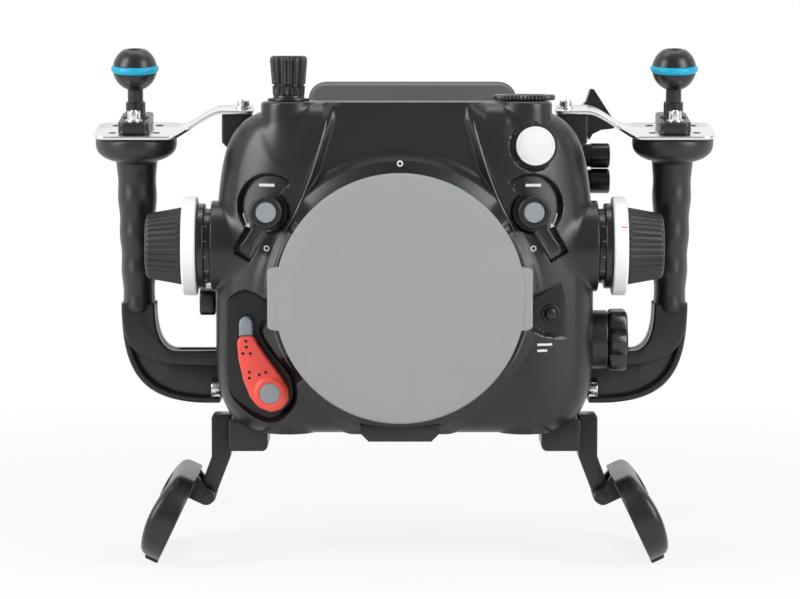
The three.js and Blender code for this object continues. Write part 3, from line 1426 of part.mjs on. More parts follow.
// The feet stand on the ground, and the origin lies under the middle of the whole.
housing.updateMatrixWorld(true);
const extent = new THREE.Box3().setFromObject(housing, true);
housing.position.set(
  -(extent.min.x + extent.max.x) / 2,
  -(extent.min.y + extent.max.y) / 2,
  -extent.min.z,
);

export default housing;
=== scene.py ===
import bpy
import bmesh
import json
import math
import numpy as np
from mathutils import Matrix, Vector


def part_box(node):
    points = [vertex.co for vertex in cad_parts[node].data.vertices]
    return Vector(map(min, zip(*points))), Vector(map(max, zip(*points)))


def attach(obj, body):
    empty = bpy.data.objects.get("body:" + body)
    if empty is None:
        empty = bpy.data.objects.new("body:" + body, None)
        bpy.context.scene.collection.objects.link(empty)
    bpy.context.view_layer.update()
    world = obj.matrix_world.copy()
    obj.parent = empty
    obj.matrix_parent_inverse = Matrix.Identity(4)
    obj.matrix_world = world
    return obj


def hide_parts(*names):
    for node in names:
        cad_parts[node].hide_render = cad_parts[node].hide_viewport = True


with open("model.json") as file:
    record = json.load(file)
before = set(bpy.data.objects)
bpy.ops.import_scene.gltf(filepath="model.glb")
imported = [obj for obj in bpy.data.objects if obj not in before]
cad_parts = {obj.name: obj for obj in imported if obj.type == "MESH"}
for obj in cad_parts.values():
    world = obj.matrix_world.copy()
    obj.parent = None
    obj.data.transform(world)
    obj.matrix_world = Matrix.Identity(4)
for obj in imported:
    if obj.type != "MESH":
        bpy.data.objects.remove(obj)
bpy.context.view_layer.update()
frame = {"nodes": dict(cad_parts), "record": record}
print("frame loaded:", len(frame["nodes"]), "nodes")

mm = 0.001
capLow, capHigh = [Vector(corner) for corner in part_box("port_cap")]
origin = Vector((0, capLow.y, (capLow.z + capHigh.z) / 2))  # middle of the case, cap's face, port axis
portX = (capLow.x + capHigh.x) / 2 / mm


def at(x, y, z):
    return origin + Vector((x, y, z)) * mm


# Camera, lamps, floor and backdrop
camera = {"lens": 137.5, "sensor": 36.0, "distance": 1.7, "elevation": 5.0}
drop = math.radians(camera["elevation"])
cameraData = bpy.data.cameras.new("camera")
cameraData.lens = camera["lens"]
cameraData.sensor_width = camera["sensor"]
cameraObject = bpy.data.objects.new("camera", cameraData)
bpy.context.collection.objects.link(cameraObject)
cameraObject.location = at(portX, 0, 0) + camera["distance"] * Vector((0, -math.cos(drop), math.sin(drop)))
cameraObject.rotation_euler = (math.pi / 2 - drop, 0, 0)
bpy.context.scene.camera = cameraObject
bpy.context.scene.view_settings.view_transform = "Standard"

lamps = {
    "leftBox": {"place": (-880, -400, 470), "target": (-60, 40, 20), "size": (440, 900), "watts": 8.2},
    "rightBox": {"place": (820, -560, 470), "target": (60, 40, 20), "size": (440, 900), "watts": 8.2},
    "topBox": {"place": (0, 160, 900), "target": (0, 60, 40), "size": (900, 260), "watts": 2.0},
}
for lampName, lampSpec in lamps.items():
    light = bpy.data.lights.new(lampName, "AREA")
    light.shape = "RECTANGLE"
    light.size, light.size_y = [side * mm for side in lampSpec["size"]]
    light.energy = lampSpec["watts"]
    lamp = bpy.data.objects.new(lampName, light)
    bpy.context.collection.objects.link(lamp)
    lamp.location = at(*lampSpec["place"])
    lamp.rotation_euler = (at(*lampSpec["target"]) - lamp.location).to_track_quat("-Z", "Y").to_euler()
print("camera and lamps set")


# Shader maths: a Signal is one output in a material's tree, and sums on it add Math nodes
class Signal:
    def __init__(self, tree, socket=None):
        self.tree = tree
        self.socket = socket

    def node(self, kind, settings=None, inputs=None, output=0):
        made = self.tree.nodes.new(kind)
        for key, value in (settings or {}).items():
            if key == "stops":
                ramp = made.color_ramp
                while len(ramp.elements) < len(value):
                    ramp.elements.new(0.5)
                for element, (place, tone) in zip(ramp.elements, value):
                    element.position = place
                    element.color = (*tone, 1) if isinstance(tone, tuple) else (tone, tone, tone, 1)
            else:
                setattr(made, key, value)
        for key, value in (inputs or {}).items():
            if isinstance(value, Signal):
                self.tree.links.new(value.socket, made.inputs[key])
            else:
                made.inputs[key].default_value = value
        return Signal(self.tree, made.outputs[output]) if len(made.outputs) else made

    def math(self, operation, first, second=0.0, clamp=False):
        return self.node("ShaderNodeMath", {"operation": operation, "use_clamp": clamp}, {0: first, 1: second})

    def __add__(self, other):
        return self.math("ADD", self, other)

    def __sub__(self, other):
        return self.math("SUBTRACT", self, other)

    def __rsub__(self, other):
        return self.math("SUBTRACT", other, self)

    def __mul__(self, other):
        return self.math("MULTIPLY", self, other)

    __radd__ = __add__
    __rmul__ = __mul__


def mixed(mask, low, high):
    return mask.node("ShaderNodeMix", {"data_type": "RGBA"}, {"Factor": mask, 6: low, 7: high}, 2)


def noiseOn(base, scale, detail=2.0, roughness=0.5):
    place = base.node("ShaderNodeTexCoord", output=3)
    return base.node("ShaderNodeTexNoise", None, {
        "Vector": place, "Scale": scale, "Detail": detail, "Roughness": roughness,
    })


def tone(r, g, b):
    return (r, g, b, 1.0)


# Finishes: base colour, its worn tone, roughness and its spread, grain in cells per metre, grain height
plainFinish = {
    "spread": 0.06, "metal": 0.0, "grain": 2200, "height": 0.03, "specular": 0.5, "coat": 0.0, "coatRough": 0.1,
}
finishes = {
    "anodised": {
        "color": (0.0075, 0.0075, 0.0082), "worn": (0.012, 0.012, 0.0128), "rough": 0.35, "spread": 0.05,
        "grain": 3200, "coat": 0.22, "coatRough": 0.27,
    },
    "control": {
        "color": (0.0075, 0.0075, 0.0082), "worn": (0.012, 0.012, 0.0128), "rough": 0.3, "spread": 0.05,
        "grain": 2400, "specular": 0.55, "coat": 0.3, "coatRough": 0.2,
    },
    "rubber": {
        "color": (0.01, 0.01, 0.0105), "worn": (0.016, 0.016, 0.0165), "rough": 0.42, "spread": 0.08,
        "grain": 1700, "height": 0.08, "coat": 0.2, "coatRough": 0.32,
    },
    "cap": {
        "color": (0.315, 0.325, 0.334), "worn": (0.345, 0.355, 0.364), "rough": 0.5,
        "grain": 2600, "height": 0.05, "specular": 0.4,
    },
    "steel": {
        "color": (0.78, 0.78, 0.79), "worn": (0.88, 0.88, 0.89), "rough": 0.24, "spread": 0.1,
        "metal": 1.0, "grain": 2600,
    },
    "lever_red": {
        "color": (0.85, 0.075, 0.055), "worn": (0.9, 0.11, 0.085), "rough": 0.42, "grain": 2600, "height": 0.05,
    },
    "lever_metal": {
        "color": (0.24, 0.28, 0.33), "worn": (0.32, 0.36, 0.41), "rough": 0.4, "grain": 2600, "height": 0.04,
    },
    "white": {"color": (0.86, 0.86, 0.865), "worn": (0.8, 0.8, 0.8), "rough": 0.42},
    "seal_blue": {"color": (0.002, 0.36, 0.58), "worn": (0.006, 0.42, 0.63), "rough": 0.4, "height": 0.04},
    "greyDisc": {
        "slot": "lever_metal", "color": (0.25, 0.27, 0.29), "worn": (0.3, 0.32, 0.34), "rough": 0.45,
        "grain": 2600, "height": 0.04,
    },
    "capMark": {
        "slot": "cap", "color": (0.33, 0.35, 0.37), "worn": (0.35, 0.37, 0.39), "rough": 0.5, "spread": 0.05,
        "grain": 2600, "specular": 0.4,
    },
    # painted light: a brighter copy of white for the marking rings, making up for the shade that falls on them
    "ringWhite": {"slot": "white", "color": (0.93, 0.935, 0.95), "worn": (0.9, 0.9, 0.91), "rough": 0.4},
    "redPaint": {
        "slot": "lever_red", "color": (0.75, 0.02, 0.02), "worn": (0.8, 0.04, 0.03), "rough": 0.45,
        "spread": 0.05, "specular": 0.4,
    },
    # painted highlight: a pale finish for the beads that stand for the light caught on the shell's edges
    "edgeShine": {
        "slot": "anodised", "color": (0.14, 0.141, 0.145), "worn": (0.16, 0.161, 0.165), "rough": 0.3,
        "spread": 0.05, "height": 0.02,
    },
    # painted shade: a dark, dull finish for discs and rings that stand for the shade in holes and grooves
    "darkHole": {
        "slot": "rubber", "color": (0.012, 0.012, 0.013), "worn": (0.018, 0.018, 0.019), "rough": 0.6,
        "specular": 0.3,
    },
    "tealSeal": {
        "slot": "seal_blue", "color": (0.02, 0.3, 0.38), "worn": (0.03, 0.34, 0.42), "rough": 0.45,
        "spread": 0.05, "specular": 0.4,
    },
    "brass": {
        "color": (0.58, 0.42, 0.17), "worn": (0.7, 0.54, 0.26), "rough": 0.3, "spread": 0.1,
        "metal": 1.0, "grain": 2600,
    },
    "board": {
        "color": (0.01, 0.09, 0.04), "worn": (0.02, 0.16, 0.07), "rough": 0.4, "spread": 0.1,
        "grain": 500, "height": 0.05,
    },
}
blotchScale = 38.0  # cells per metre of the slow change in tone
blotchDetail = 3.0
grainDetail = 2.0
grainDepth = 0.0004


def newTree(name):
    material = bpy.data.materials.new(name)
    material.use_nodes = True
    tree = material.node_tree
    tree.nodes.clear()
    return material, Signal(tree)


def closeTree(base, shader):
    base.node("ShaderNodeOutputMaterial", None, {"Surface": shader})


def makeFinish(name, spec):
    spec = {**plainFinish, **spec}
    material, base = newTree(name)
    blotch = noiseOn(base, blotchScale, blotchDetail)
    grain = noiseOn(base, spec["grain"], grainDetail)
    bump = base.node("ShaderNodeBump", None, {
        "Strength": spec["height"], "Distance": grainDepth, "Height": grain,
    })
    shader = base.node("ShaderNodeBsdfPrincipled", None, {
        "Base Color": mixed(blotch, tone(*spec["color"]), tone(*spec["worn"])),
        "Roughness": spec["rough"] + spec["spread"] * (blotch - 0.5) + spec["spread"] / 2 * (grain - 0.5),
        "Metallic": spec["metal"],
        "Specular IOR Level": spec["specular"],
        "Coat Weight": spec["coat"],
        "Coat Roughness": spec["coatRough"],
        "Normal": bump,
    })
    closeTree(base, shader)
    return material


materials = {name: makeFinish(name, spec) for name, spec in finishes.items()}

windowSpec = {
    "color": (0.02, 0.023, 0.026), "smeared": (0.03, 0.034, 0.038), "rough": 0.05, "spread": 0.04, "coat": 0.3,
    "smearScale": 30.0,
}
windowMaterial, windowBase = newTree("window")
smear = noiseOn(windowBase, windowSpec["smearScale"], grainDetail)
closeTree(windowBase, windowBase.node("ShaderNodeBsdfPrincipled", None, {
    "Base Color": mixed(smear, tone(*windowSpec["color"]), tone(*windowSpec["smeared"])),
    "Roughness": windowSpec["rough"] + windowSpec["spread"] * smear,
    "Metallic": 0.0,
    "Coat Weight": windowSpec["coat"],
}))
materials["window"] = windowMaterial
print("finishes made:", len(materials))


# The floor and backdrop look white to the camera and in glossy metal, and keep the shadow
floorSpec = {
    "reach": 6000, "color": (0.9, 0.9, 0.9), "glow": 0.84, "glowNear": 0.3, "glowFar": 0.75,
    "gloss": 0.25, "glossFront": -0.3, "glossBack": 0.1,
}
worldSpec = {"strength": 0.25, "gloss": 0.06, "glossFront": -0.15, "glossBack": 0.35}


def raysOn(base):
    # masks of the rays that come from the camera and from glossy surfaces
    rays = base.node("ShaderNodeLightPath").socket.node.outputs
    return [Signal(base.tree, rays[output]) for output in ("Is Camera Ray", "Is Glossy Ray")]


floorMesh = bmesh.new()
bmesh.ops.create_grid(floorMesh, x_segments=2, y_segments=2, size=floorSpec["reach"] * mm)
floorData = bpy.data.meshes.new("floor")
floorMesh.to_mesh(floorData)
floorMesh.free()
floor = bpy.data.objects.new("floor", floorData)
bpy.context.collection.objects.link(floor)
floorMaterial, floorBase = newTree("floor")
place = floorBase.node("ShaderNodeTexCoord", output=3)
ground = floorBase.node("ShaderNodeVectorMath", {"operation": "MULTIPLY"}, {0: place, 1: (1, 1, 0)})
reach = floorBase.node("ShaderNodeVectorMath", {"operation": "LENGTH"}, {0: ground}, 1)
far = floorBase.node("ShaderNodeMapRange", None, {
    "Value": reach, 1: floorSpec["glowNear"], 2: floorSpec["glowFar"], 3: floorSpec["glow"], 4: 1.0,
})
cameraRay, glossyRay = raysOn(floorBase)
ahead = floorBase.node("ShaderNodeSeparateXYZ", None, {0: place}, 1)
sheen = floorBase.node("ShaderNodeMapRange", None, {
    "Value": ahead, 1: floorSpec["glossFront"], 2: floorSpec["glossBack"], 3: floorSpec["gloss"], 4: 1.0,
})
direct = floorBase.math("ADD", cameraRay, sheen * glossyRay, True)
closeTree(floorBase, floorBase.node("ShaderNodeMixShader", None, {
    0: far * direct, 1: floorBase.node("ShaderNodeBsdfDiffuse", None, {"Color": tone(*floorSpec["color"])}),
    2: floorBase.node("ShaderNodeEmission", None, {"Color": tone(1, 1, 1), "Strength": 1.0}),
}))
floorData.materials.append(floorMaterial)

world = bpy.data.worlds.new("world")
bpy.context.scene.world = world
world.use_nodes = True
world.node_tree.nodes.clear()
sky = Signal(world.node_tree)
direction = sky.node("ShaderNodeSeparateXYZ", None, {0: sky.node("ShaderNodeTexCoord", output=0)}, 1)
behind = sky.node("ShaderNodeMapRange", None, {
    "Value": direction, 1: worldSpec["glossFront"], 2: worldSpec["glossBack"], 3: worldSpec["gloss"], 4: 1.0,
})
cameraRay, glossyRay = raysOn(sky)
sky.node("ShaderNodeOutputWorld", None, {"Surface": sky.node("ShaderNodeMixShader", None, {
    0: sky.math("ADD", cameraRay, glossyRay * behind, True),
    1: sky.node("ShaderNodeBackground", None, {"Color": tone(1, 1, 1), "Strength": worldSpec["strength"]}),
    2: sky.node("ShaderNodeBackground", None, {"Color": tone(1, 1, 1), "Strength": 1.0}),
})})
print("floor and backdrop set")

# Every node of the frame takes its slot's finish
slotOf = {part["node"]: part["material_slot"] for part in frame["record"]["subparts"]}
for nodeName, nodeObject in frame["nodes"].items():
    nodeObject.data.materials.clear()
    nodeObject.data.materials.append(materials[slotOf[nodeName]])

# The back cover's hump has a matt face that looks paler from the front; that paler tone is painted light, a
# lighter base colour standing in for the light on that face
humpSpec = {"height": 103, "depth": 106.5, "color": (0.13, 0.13, 0.132), "rough": 0.5}
humpMaterial, humpBase = newTree("backCover")
spot = humpBase.node("ShaderNodeSeparateXYZ", None, {0: humpBase.node("ShaderNodeTexCoord", output=3)})
spots = spot.socket.node.outputs
above = humpBase.math("GREATER_THAN", Signal(spot.tree, spots["Z"]), at(0, 0, humpSpec["height"]).z)
before = humpBase.math("LESS_THAN", Signal(spot.tree, spots["Y"]), at(0, humpSpec["depth"], 0).y)
dullAndPaintedLight = above * before
coverSpec = {**plainFinish, **finishes["anodised"]}
coverBlotch = noiseOn(humpBase, blotchScale, blotchDetail)
coverColor = mixed(coverBlotch, tone(*coverSpec["color"]), tone(*coverSpec["worn"]))
coverRough = coverSpec["rough"] + coverSpec["spread"] * (coverBlotch - 0.5)
closeTree(humpBase, humpBase.node("ShaderNodeBsdfPrincipled", None, {
    # painted light: the hump's face above the case takes the paler colour, and its real matt roughness
    "Base Color": mixed(dullAndPaintedLight, coverColor, tone(*humpSpec["color"])),
    "Roughness": coverRough + (humpSpec["rough"] - coverSpec["rough"]) * dullAndPaintedLight,
    "Specular IOR Level": coverSpec["specular"],
    "Coat Weight": coverSpec["coat"],
    "Coat Roughness": coverSpec["coatRough"],
}))
frame["nodes"]["back_cover"].data.materials[0] = humpMaterial

# Mesh helpers: a bmesh holds millimetres from the middle of the case, the cap's face and the port axis
planes = {
    "x": Matrix(((0, 0, 1, 0), (1, 0, 0, 0), (0, 1, 0, 0), (0, 0, 0, 1))),
    "y": Matrix(((1, 0, 0, 0), (0, 0, 1, 0), (0, 1, 0, 0), (0, 0, 0, 1))),
    "z": Matrix.Identity(4),
}
mirrorX = Matrix.Diagonal((-1, 1, 1, 1))
weld = 0.002
cornerShare = 0.48  # the most of an edge that one rounded corner takes


def soften(points, size, steps=4, closed=False):
    # rounds the corners of a line of points; a third value in a point is its own radius
    rounded = []
    for i, point in enumerate(points):
        corner = Vector(point[:2])
        if not closed and i in (0, len(points) - 1):
            rounded.append(corner)
            continue
        into = corner - Vector(points[i - 1][:2])
        away = Vector(points[(i + 1) % len(points)][:2]) - corner
        radius = point[2] if len(point) > 2 else size
        wanted = radius * math.tan(into.angle(away) / 2)
        reach = min(wanted, into.length * cornerShare, away.length * cornerShare)
        if reach < weld:
            rounded.append(corner)
            continue
        start = corner - into.normalized() * reach
        end = corner + away.normalized() * reach
        for step in range(steps + 1):
            share = step / steps
            rounded.append(start * (1 - share) ** 2 + corner * (2 * share * (1 - share)) + end * share ** 2)
    return rounded


def arc(x, z, radius, first, last, steps):
    angles = [math.radians(first + (last - first) * step / steps) for step in range(steps + 1)]
    return [(x + radius * math.cos(angle), z + radius * math.sin(angle)) for angle in angles]


def mended(mesh, matrix=None):
    bmesh.ops.remove_doubles(mesh, verts=mesh.verts, dist=weld)
    if matrix is not None:
        bmesh.ops.transform(mesh, matrix=matrix, verts=mesh.verts)
    bmesh.ops.recalc_face_normals(mesh, faces=mesh.faces)
    return mesh


def sideMatrix(side):
    # the right side as it is drawn, the left as its mirror image
    return mirrorX if side < 0 else Matrix.Identity(4)


def spun(profile, axis="y", centre=(0, 0, 0), sides=96):
    mesh = bmesh.new()
    verts = [mesh.verts.new((point[0], 0, point[1])) for point in profile]
    ends = zip(verts, verts[1:] + verts[:1]) if profile[0][0] > weld else zip(verts, verts[1:])
    edges = [mesh.edges.new(pair) for pair in ends]
    bmesh.ops.spin(
        mesh, geom=verts + edges, cent=(0, 0, 0), axis=(0, 0, 1), angle=2 * math.pi, steps=sides,
        use_merge=True,
    )
    return mended(mesh, Matrix.Translation(centre) @ planes[axis])


def bevelled(mesh, edges, width, segments=2):
    if width > 0:
        bmesh.ops.bevel(
            mesh, geom=edges, offset=width, offset_type="OFFSET", segments=segments, profile=0.5,
            affect="EDGES", material=-1, clamp_overlap=True,
        )


def prism(outline, low, high, axis="y", edge=0.5, segments=2, matrix=None):
    mesh = bmesh.new()
    base = mesh.faces.new([mesh.verts.new((point[0], point[1], low)) for point in outline])
    raised = bmesh.ops.extrude_face_region(mesh, geom=[base])["geom"]
    bmesh.ops.translate(
        mesh, vec=(0, 0, high - low), verts=[item for item in raised if isinstance(item, bmesh.types.BMVert)],
    )
    rims = [
        rim for rim in mesh.edges
        if abs(rim.verts[0].co.z - rim.verts[1].co.z) < weld and not (rim.is_wire or rim.is_boundary)
    ]
    bevelled(mesh, rims, edge, segments)
    return mended(mesh, (matrix or Matrix.Identity(4)) @ planes[axis])


def boxed(low, high, edge=0.6, segments=2, matrix=None):
    mesh = bmesh.new()
    bmesh.ops.create_cube(mesh, size=1)
    middle = [(a + b) / 2 for a, b in zip(low, high)]
    sizes = [b - a for a, b in zip(low, high)]
    moved(mesh, Matrix.Translation(middle) @ Matrix.Diagonal((*sizes, 1)))
    bevelled(mesh, mesh.edges[:], edge, segments)
    return mended(mesh, matrix)


def woven(rows, matrix=None):
    mesh = bmesh.new()
    bmesh.ops.create_grid(mesh, x_segments=len(rows[0]) - 1, y_segments=len(rows) - 1, size=1)
    for vert, place in zip(mesh.verts, (point for row in rows for point in row)):
        vert.co = place
    return mended(mesh, matrix)


def joined(*meshes):
    whole = meshes[0]
    for extra in meshes[1:]:
        step = bpy.data.meshes.new("step")
        extra.to_mesh(step)
        extra.free()
        whole.from_mesh(step)
        bpy.data.meshes.remove(step)
    return whole


def moved(mesh, matrix):
    bmesh.ops.transform(mesh, matrix=matrix, verts=mesh.verts)
    if matrix.determinant() < 0:
        bmesh.ops.reverse_faces(mesh, faces=mesh.faces)
    return mesh


def piece(name, mesh, finish, body, stands=(), sharp=32.0):
    moved(mesh, Matrix.Translation(origin) @ Matrix.Scale(mm, 4))
    data = bpy.data.meshes.new(name)
    mesh.to_mesh(data)
    mesh.free()
    data.shade_smooth()
    data.set_sharp_from_angle(angle=math.radians(sharp))
    data.materials.append(materials[finish])
    made = bpy.data.objects.new(name, data)
    bpy.context.collection.objects.link(made)
    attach(made, body)
    if stands:
        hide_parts(*stands)
    return made


screwShares = {"socket": 0.52, "deep": 0.6, "edge": 0.12}  # of the head's radius


def capScrew(radius, height, base, direction, sides=32):
    # a socket screw: its head stands on base, a point of the case, and looks along direction
    socket = radius * screwShares["socket"]
    floorAt = height - radius * screwShares["deep"]
    profile = soften([
        (0, floorAt), (socket, floorAt), (socket, height), (radius, height), (radius, 0), (0, 0),
    ], radius * screwShares["edge"], 2)
    turn = Vector((0, 0, 1)).rotation_difference(Vector(direction)).to_matrix().to_4x4()
    return moved(spun(profile, "z", sides=sides), Matrix.Translation(base) @ turn)


# Front shell: one ring grid from the port's bore over the face and the sides to the split, and back inside
shell = {
    "rings": 118, "spokes": 720, "samples": 160, "boreRadius": 60, "flangeRadius": 66.3, "bossRadius": 79,
    "bossStep": 2.2, "bossEdge": 0.4, "bossFace": 9.3, "chamfer": 0.3, "halfWidth": 107.5, "frontFace": 12,
    "edgeRound": 12, "barrelFlat": 50, "barrelDrop": 14, "split": 100, "splitEdge": 0.5, "wall": 5,
    "cavityFront": 31, "sideSteps": (0.15, 0.4, 0.7, 0.96), "sideBlend": 4, "behind": 60,
    "panelDepth": 18, "panelSlope": 1.2, "pocketFloor": 18, "recordFloor": 27, "releaseFloor": 20,
    "releaseSoft": 1.6, "badgeFloor": 18.5, "wallSlope": 5.0, "ridge": 0.9, "pocketDrop": 4.6,
    "fall": 11, "fallReach": 44, "fallShare": 0.35, "corner": (94, 84, 38), "valleySoft": 2.4,
    "rimRadius": 72.4, "rimSlope": 1.0, "rimSoft": 2.2, "outsideStep": 4, "outsideSlope": 4,
}
topEdge = {"size": 9, "halfWidth": 46, "blend": 12, "low": 60, "rise": 20}
rightOutline = [
    ((80, -78), (97.9, -78), (107.5, -62), (107.5, -36)),
    ((107.5, 30), (105.5, 75), (102.1, 95), (84, 102)),
]
bendSteps = 26
rightPoints = []
for curve in rightOutline:
    for step in range(bendSteps + 1):
        share = step / bendSteps
        weights = ((1 - share) ** 3, 3 * share * (1 - share) ** 2, 3 * share ** 2 * (1 - share), share ** 3)
        rightPoints.append(tuple(sum(w * corner[k] for w, corner in zip(weights, curve)) for k in (0, 1)))
rightPoints.append((58, 109))
caseOutline = rightPoints + [(-x, z) for x, z in reversed(rightPoints)]
lockPlace = (74.81, 48.03)  # from the port axis
lockPocket = {"radius": 17.2, "rise": 3, "shift": 1.3, "hub": 11.7, "slotHalf": 5, "slotReach": 29, "lean": 30}
crescentEnd = [(0, 0), (-1.2, 1.6), (-2, -2), (1, -1.73)]
recordPlace = (-75.82, -54.38)
recordPocketShares = [
    (-0.67, 1.31), (-0.53, 1.48), (-0.35, 1.52), (-0.16, 1.42), (-0.05, 1.24), (-0.17, 0.95), (-0.02, 0.64),
    (0.26, 0.28), (0.34, 0.08), (0.3, -0.18), (-0.02, -0.42), (-0.52, -0.15), (-0.67, 0.16), (-0.71, 0.72),
]
recordLength = 37
releasePlace = (82.2, -9.7)
releaseShares = [(-0.54, 0.53), (0.33, 1.05), (0.62, -0.08), (0.71, -0.92), (-0.19, -0.68), (-0.69, -0.38)]
releaseHalf = 16
topBoss = {
    "places": (-65.8, 68), "depth": 46, "drawn": 13, "radius": 15.6, "inset": 0.4, "low": 84, "top": 109.2,
    "blend": 3.2,
}
knobBoss = {"depth": 48, "height": 26.5, "radius": 26, "foot": 25.7, "near": 96, "far": 110, "blend": 3.5}
starBoss = {"depth": 56, "height": -28, "radius": 17, "near": 100, "far": 116.3}
idlerPin = {"depth": 48, "height": 1.5, "radius": 3.5, "near": 86, "far": 105}
footPad = {"front": 12, "back": 95}
trayRail = {"places": (-50, 50), "half": 4, "front": 40, "back": 92, "low": -75.5, "high": -60.3}
badgePlace = (73.2, 84.7)
badgeWell = 13.5
valleyShares = [(1, 1.2), (1, 0.91), (1.17, 0.711), (1.31, 0.576), (1.51, 0.417), (1.93, 0.195), (0, 0)]
valleyHalf = 36.4
valleyTop = 109


def smoothLoop(points, steps=5):
    # a closed loop through the points
    loop = []
    for i in range(len(points)):
        a, b, c, d = [np.array(points[(i + k) % len(points)]) for k in (-1, 0, 1, 2)]
        for step in range(steps):
            t = step / steps
            bend = (2 * a - 5 * b + 4 * c - d) * t ** 2
            loop.append(0.5 * (2 * b + (c - a) * t + bend + (3 * b - a - 3 * c + d) * t ** 3))
    return np.array(loop)


def depthInside(loop, x, z):
    # how deep inside the loop each point lies, in mm, below zero outside
    loop = np.array(loop, dtype=float)
    nearest = np.full(x.shape, 1e9)
    inside = np.zeros(x.shape, dtype=bool)
    for (ax, az), (bx, bz) in zip(loop, np.roll(loop, -1, axis=0)):
        ex, ez = bx - ax, bz - az
        along = np.clip(((x - ax) * ex + (z - az) * ez) / (ex * ex + ez * ez + 1e-12), 0, 1)
        nearest = np.minimum(nearest, np.hypot(x - ax - along * ex, z - az - along * ez))
        if az != bz:
            inside ^= ((az > z) != (bz > z)) & (x < ax + (z - az) * ex / ez)
    return np.where(inside, nearest, -nearest)


def softMax(a, b, size):
    near = np.maximum(size - np.abs(a - b), 0) / size
    return np.maximum(a, b) + near * near * size / 4


def pocket(depth, inside, floor, slope, soft=shell["ridge"]):
    # sinks the surface to floor inside, up a wall of that slope
    return softMax(depth, floor + slope * np.minimum(inside, 0), soft)


def faceDepth(x):
    out = np.maximum(np.abs(x) - shell["barrelFlat"], 0) / (shell["halfWidth"] - shell["barrelFlat"])
    return shell["frontFace"] + shell["barrelDrop"] * out ** 2


def softMin(a, b, size):
    return -softMax(-a, -b, size)


def edgeFall(x, z, inside):
    # the face falls away towards its rim, most at the two upper corners
    cornerX, cornerZ, spread = shell["corner"]
    near = np.exp(-((np.abs(x) - cornerX) ** 2 + (z - cornerZ) ** 2) / (2 * spread ** 2))
    rim = np.clip(1 - inside / shell["fallReach"], 0, 1)
    return shell["fall"] * rim ** 2 * (shell["fallShare"] + (1 - shell["fallShare"]) * near)


def placedShares(place, shares, size):
    # an outline given in shares of a size, at its place
    return [(place[0] + u * size, place[1] + v * size) for u, v in shares]


def crescent(x, z, side):
    # how deep inside the lock's pocket each point lies: a round well with a cut end, a hub and a leaning slot
    hubX, hubZ = portX + side * lockPlace[0], lockPlace[1]
    wide = np.hypot(x - hubX + side * lockPocket["shift"], z - hubZ - lockPocket["rise"])
    well = lockPocket["radius"] - wide
    end = [(hubX + side * u * lockPocket["radius"], hubZ + v * lockPocket["radius"]) for u, v in crescentEnd]
    hub = lockPocket["hub"] - np.hypot(x - hubX, z - hubZ)
    lean = math.radians(lockPocket["lean"])
    down = ((x - hubX) * side * math.sin(lean) - (z - hubZ) * math.cos(lean))
    across = ((x - hubX) * side * math.cos(lean) + (z - hubZ) * math.sin(lean))
    along = np.minimum(down, lockPocket["slotReach"] - down)
    slot = np.minimum(along, lockPocket["slotHalf"] - np.abs(across))
    return np.maximum(np.maximum(np.minimum(well, -depthInside(end, x, z)), hub), slot)


def frontDepth(x, z):
    # depth of the shell's whole front face at each point, with its bosses, valley and pockets
    inside = depthInside(caseOutline, x, z)
    # above the valley the case's edge is sharper
    central = np.clip((topEdge["halfWidth"] - np.abs(x)) / topEdge["blend"], 0, 1)
    sharper = topEdge["size"] * central * np.clip((z - topEdge["low"]) / topEdge["rise"], 0, 1)
    edge = np.clip(shell["edgeRound"] - inside - sharper, 0, shell["edgeRound"])
    depth = faceDepth(x) + shell["edgeRound"] - np.sqrt(shell["edgeRound"] ** 2 - edge ** 2)
    depth = depth + edgeFall(x, z, inside)
    for place in topBoss["places"]:
        across = np.clip(1 - ((x - place) / topBoss["radius"]) ** 2, 0, 1)
        front = topBoss["depth"] - topBoss["drawn"] - topBoss["radius"] * np.sqrt(across)
        depth = softMin(depth, np.where(across > 0, front, shell["behind"]), topBoss["blend"])
    across = np.clip(1 - ((z - knobBoss["height"]) / knobBoss["radius"]) ** 2, 0, 1)
    front = knobBoss["depth"] - knobBoss["radius"] * np.sqrt(across)
    depth = softMin(depth, np.where(across > 0, front, shell["behind"]), knobBoss["blend"])
    valley = [(portX + u * valleyHalf, v * valleyTop) for u, v in valleyShares]
    valley += [(portX - u * valleyHalf, v * valleyTop) for u, v in reversed(valleyShares[:-1])]
    sunk = depthInside(valley, x, z)
    depth = pocket(depth, sunk, shell["panelDepth"], shell["panelSlope"], shell["valleySoft"])
    reach = np.hypot(x - portX, z)
    boss = shell["bossFace"] + np.maximum(reach - shell["rimRadius"], 0) * shell["rimSlope"]
    boss = boss + np.maximum(reach - shell["bossRadius"] - shell["outsideStep"], 0) * shell["outsideSlope"]
    depth = softMin(depth, boss, shell["rimSoft"])
    pocketFloor = np.maximum(depth + shell["pocketDrop"], shell["pocketFloor"])
    for side in (-1, 1):
        depth = pocket(depth, crescent(x, z, side), pocketFloor, shell["wallSlope"])
    record = smoothLoop(placedShares(recordPlace, recordPocketShares, recordLength))
    depth = pocket(depth, depthInside(record, x, z), shell["recordFloor"], shell["wallSlope"])
    sunk = depthInside(placedShares(releasePlace, releaseShares, releaseHalf), x, z)
    depth = pocket(depth, sunk, shell["releaseFloor"], shell["wallSlope"] / 2, shell["releaseSoft"])
    badge = badgeWell - np.hypot(x - badgePlace[0], z - badgePlace[1])
    return pocket(depth, badge, shell["badgeFloor"], shell["wallSlope"])


def outlineReach(angles):
    # distance from the port axis to the case's outline along each angle
    fine = []
    cuts = 24  # of each straight stretch
    for (ax, az), (bx, bz) in zip(caseOutline, caseOutline[1:] + caseOutline[:1]):
        fine += [(ax + (bx - ax) * t / cuts, az + (bz - az) * t / cuts) for t in range(cuts)]
    fine = np.array(fine)
    around = np.arctan2(fine[:, 1], fine[:, 0] - portX)
    order = np.argsort(around)
    reach = np.hypot(fine[:, 0] - portX, fine[:, 1])
    return np.interp(angles, around[order], reach[order], period=2 * math.pi)


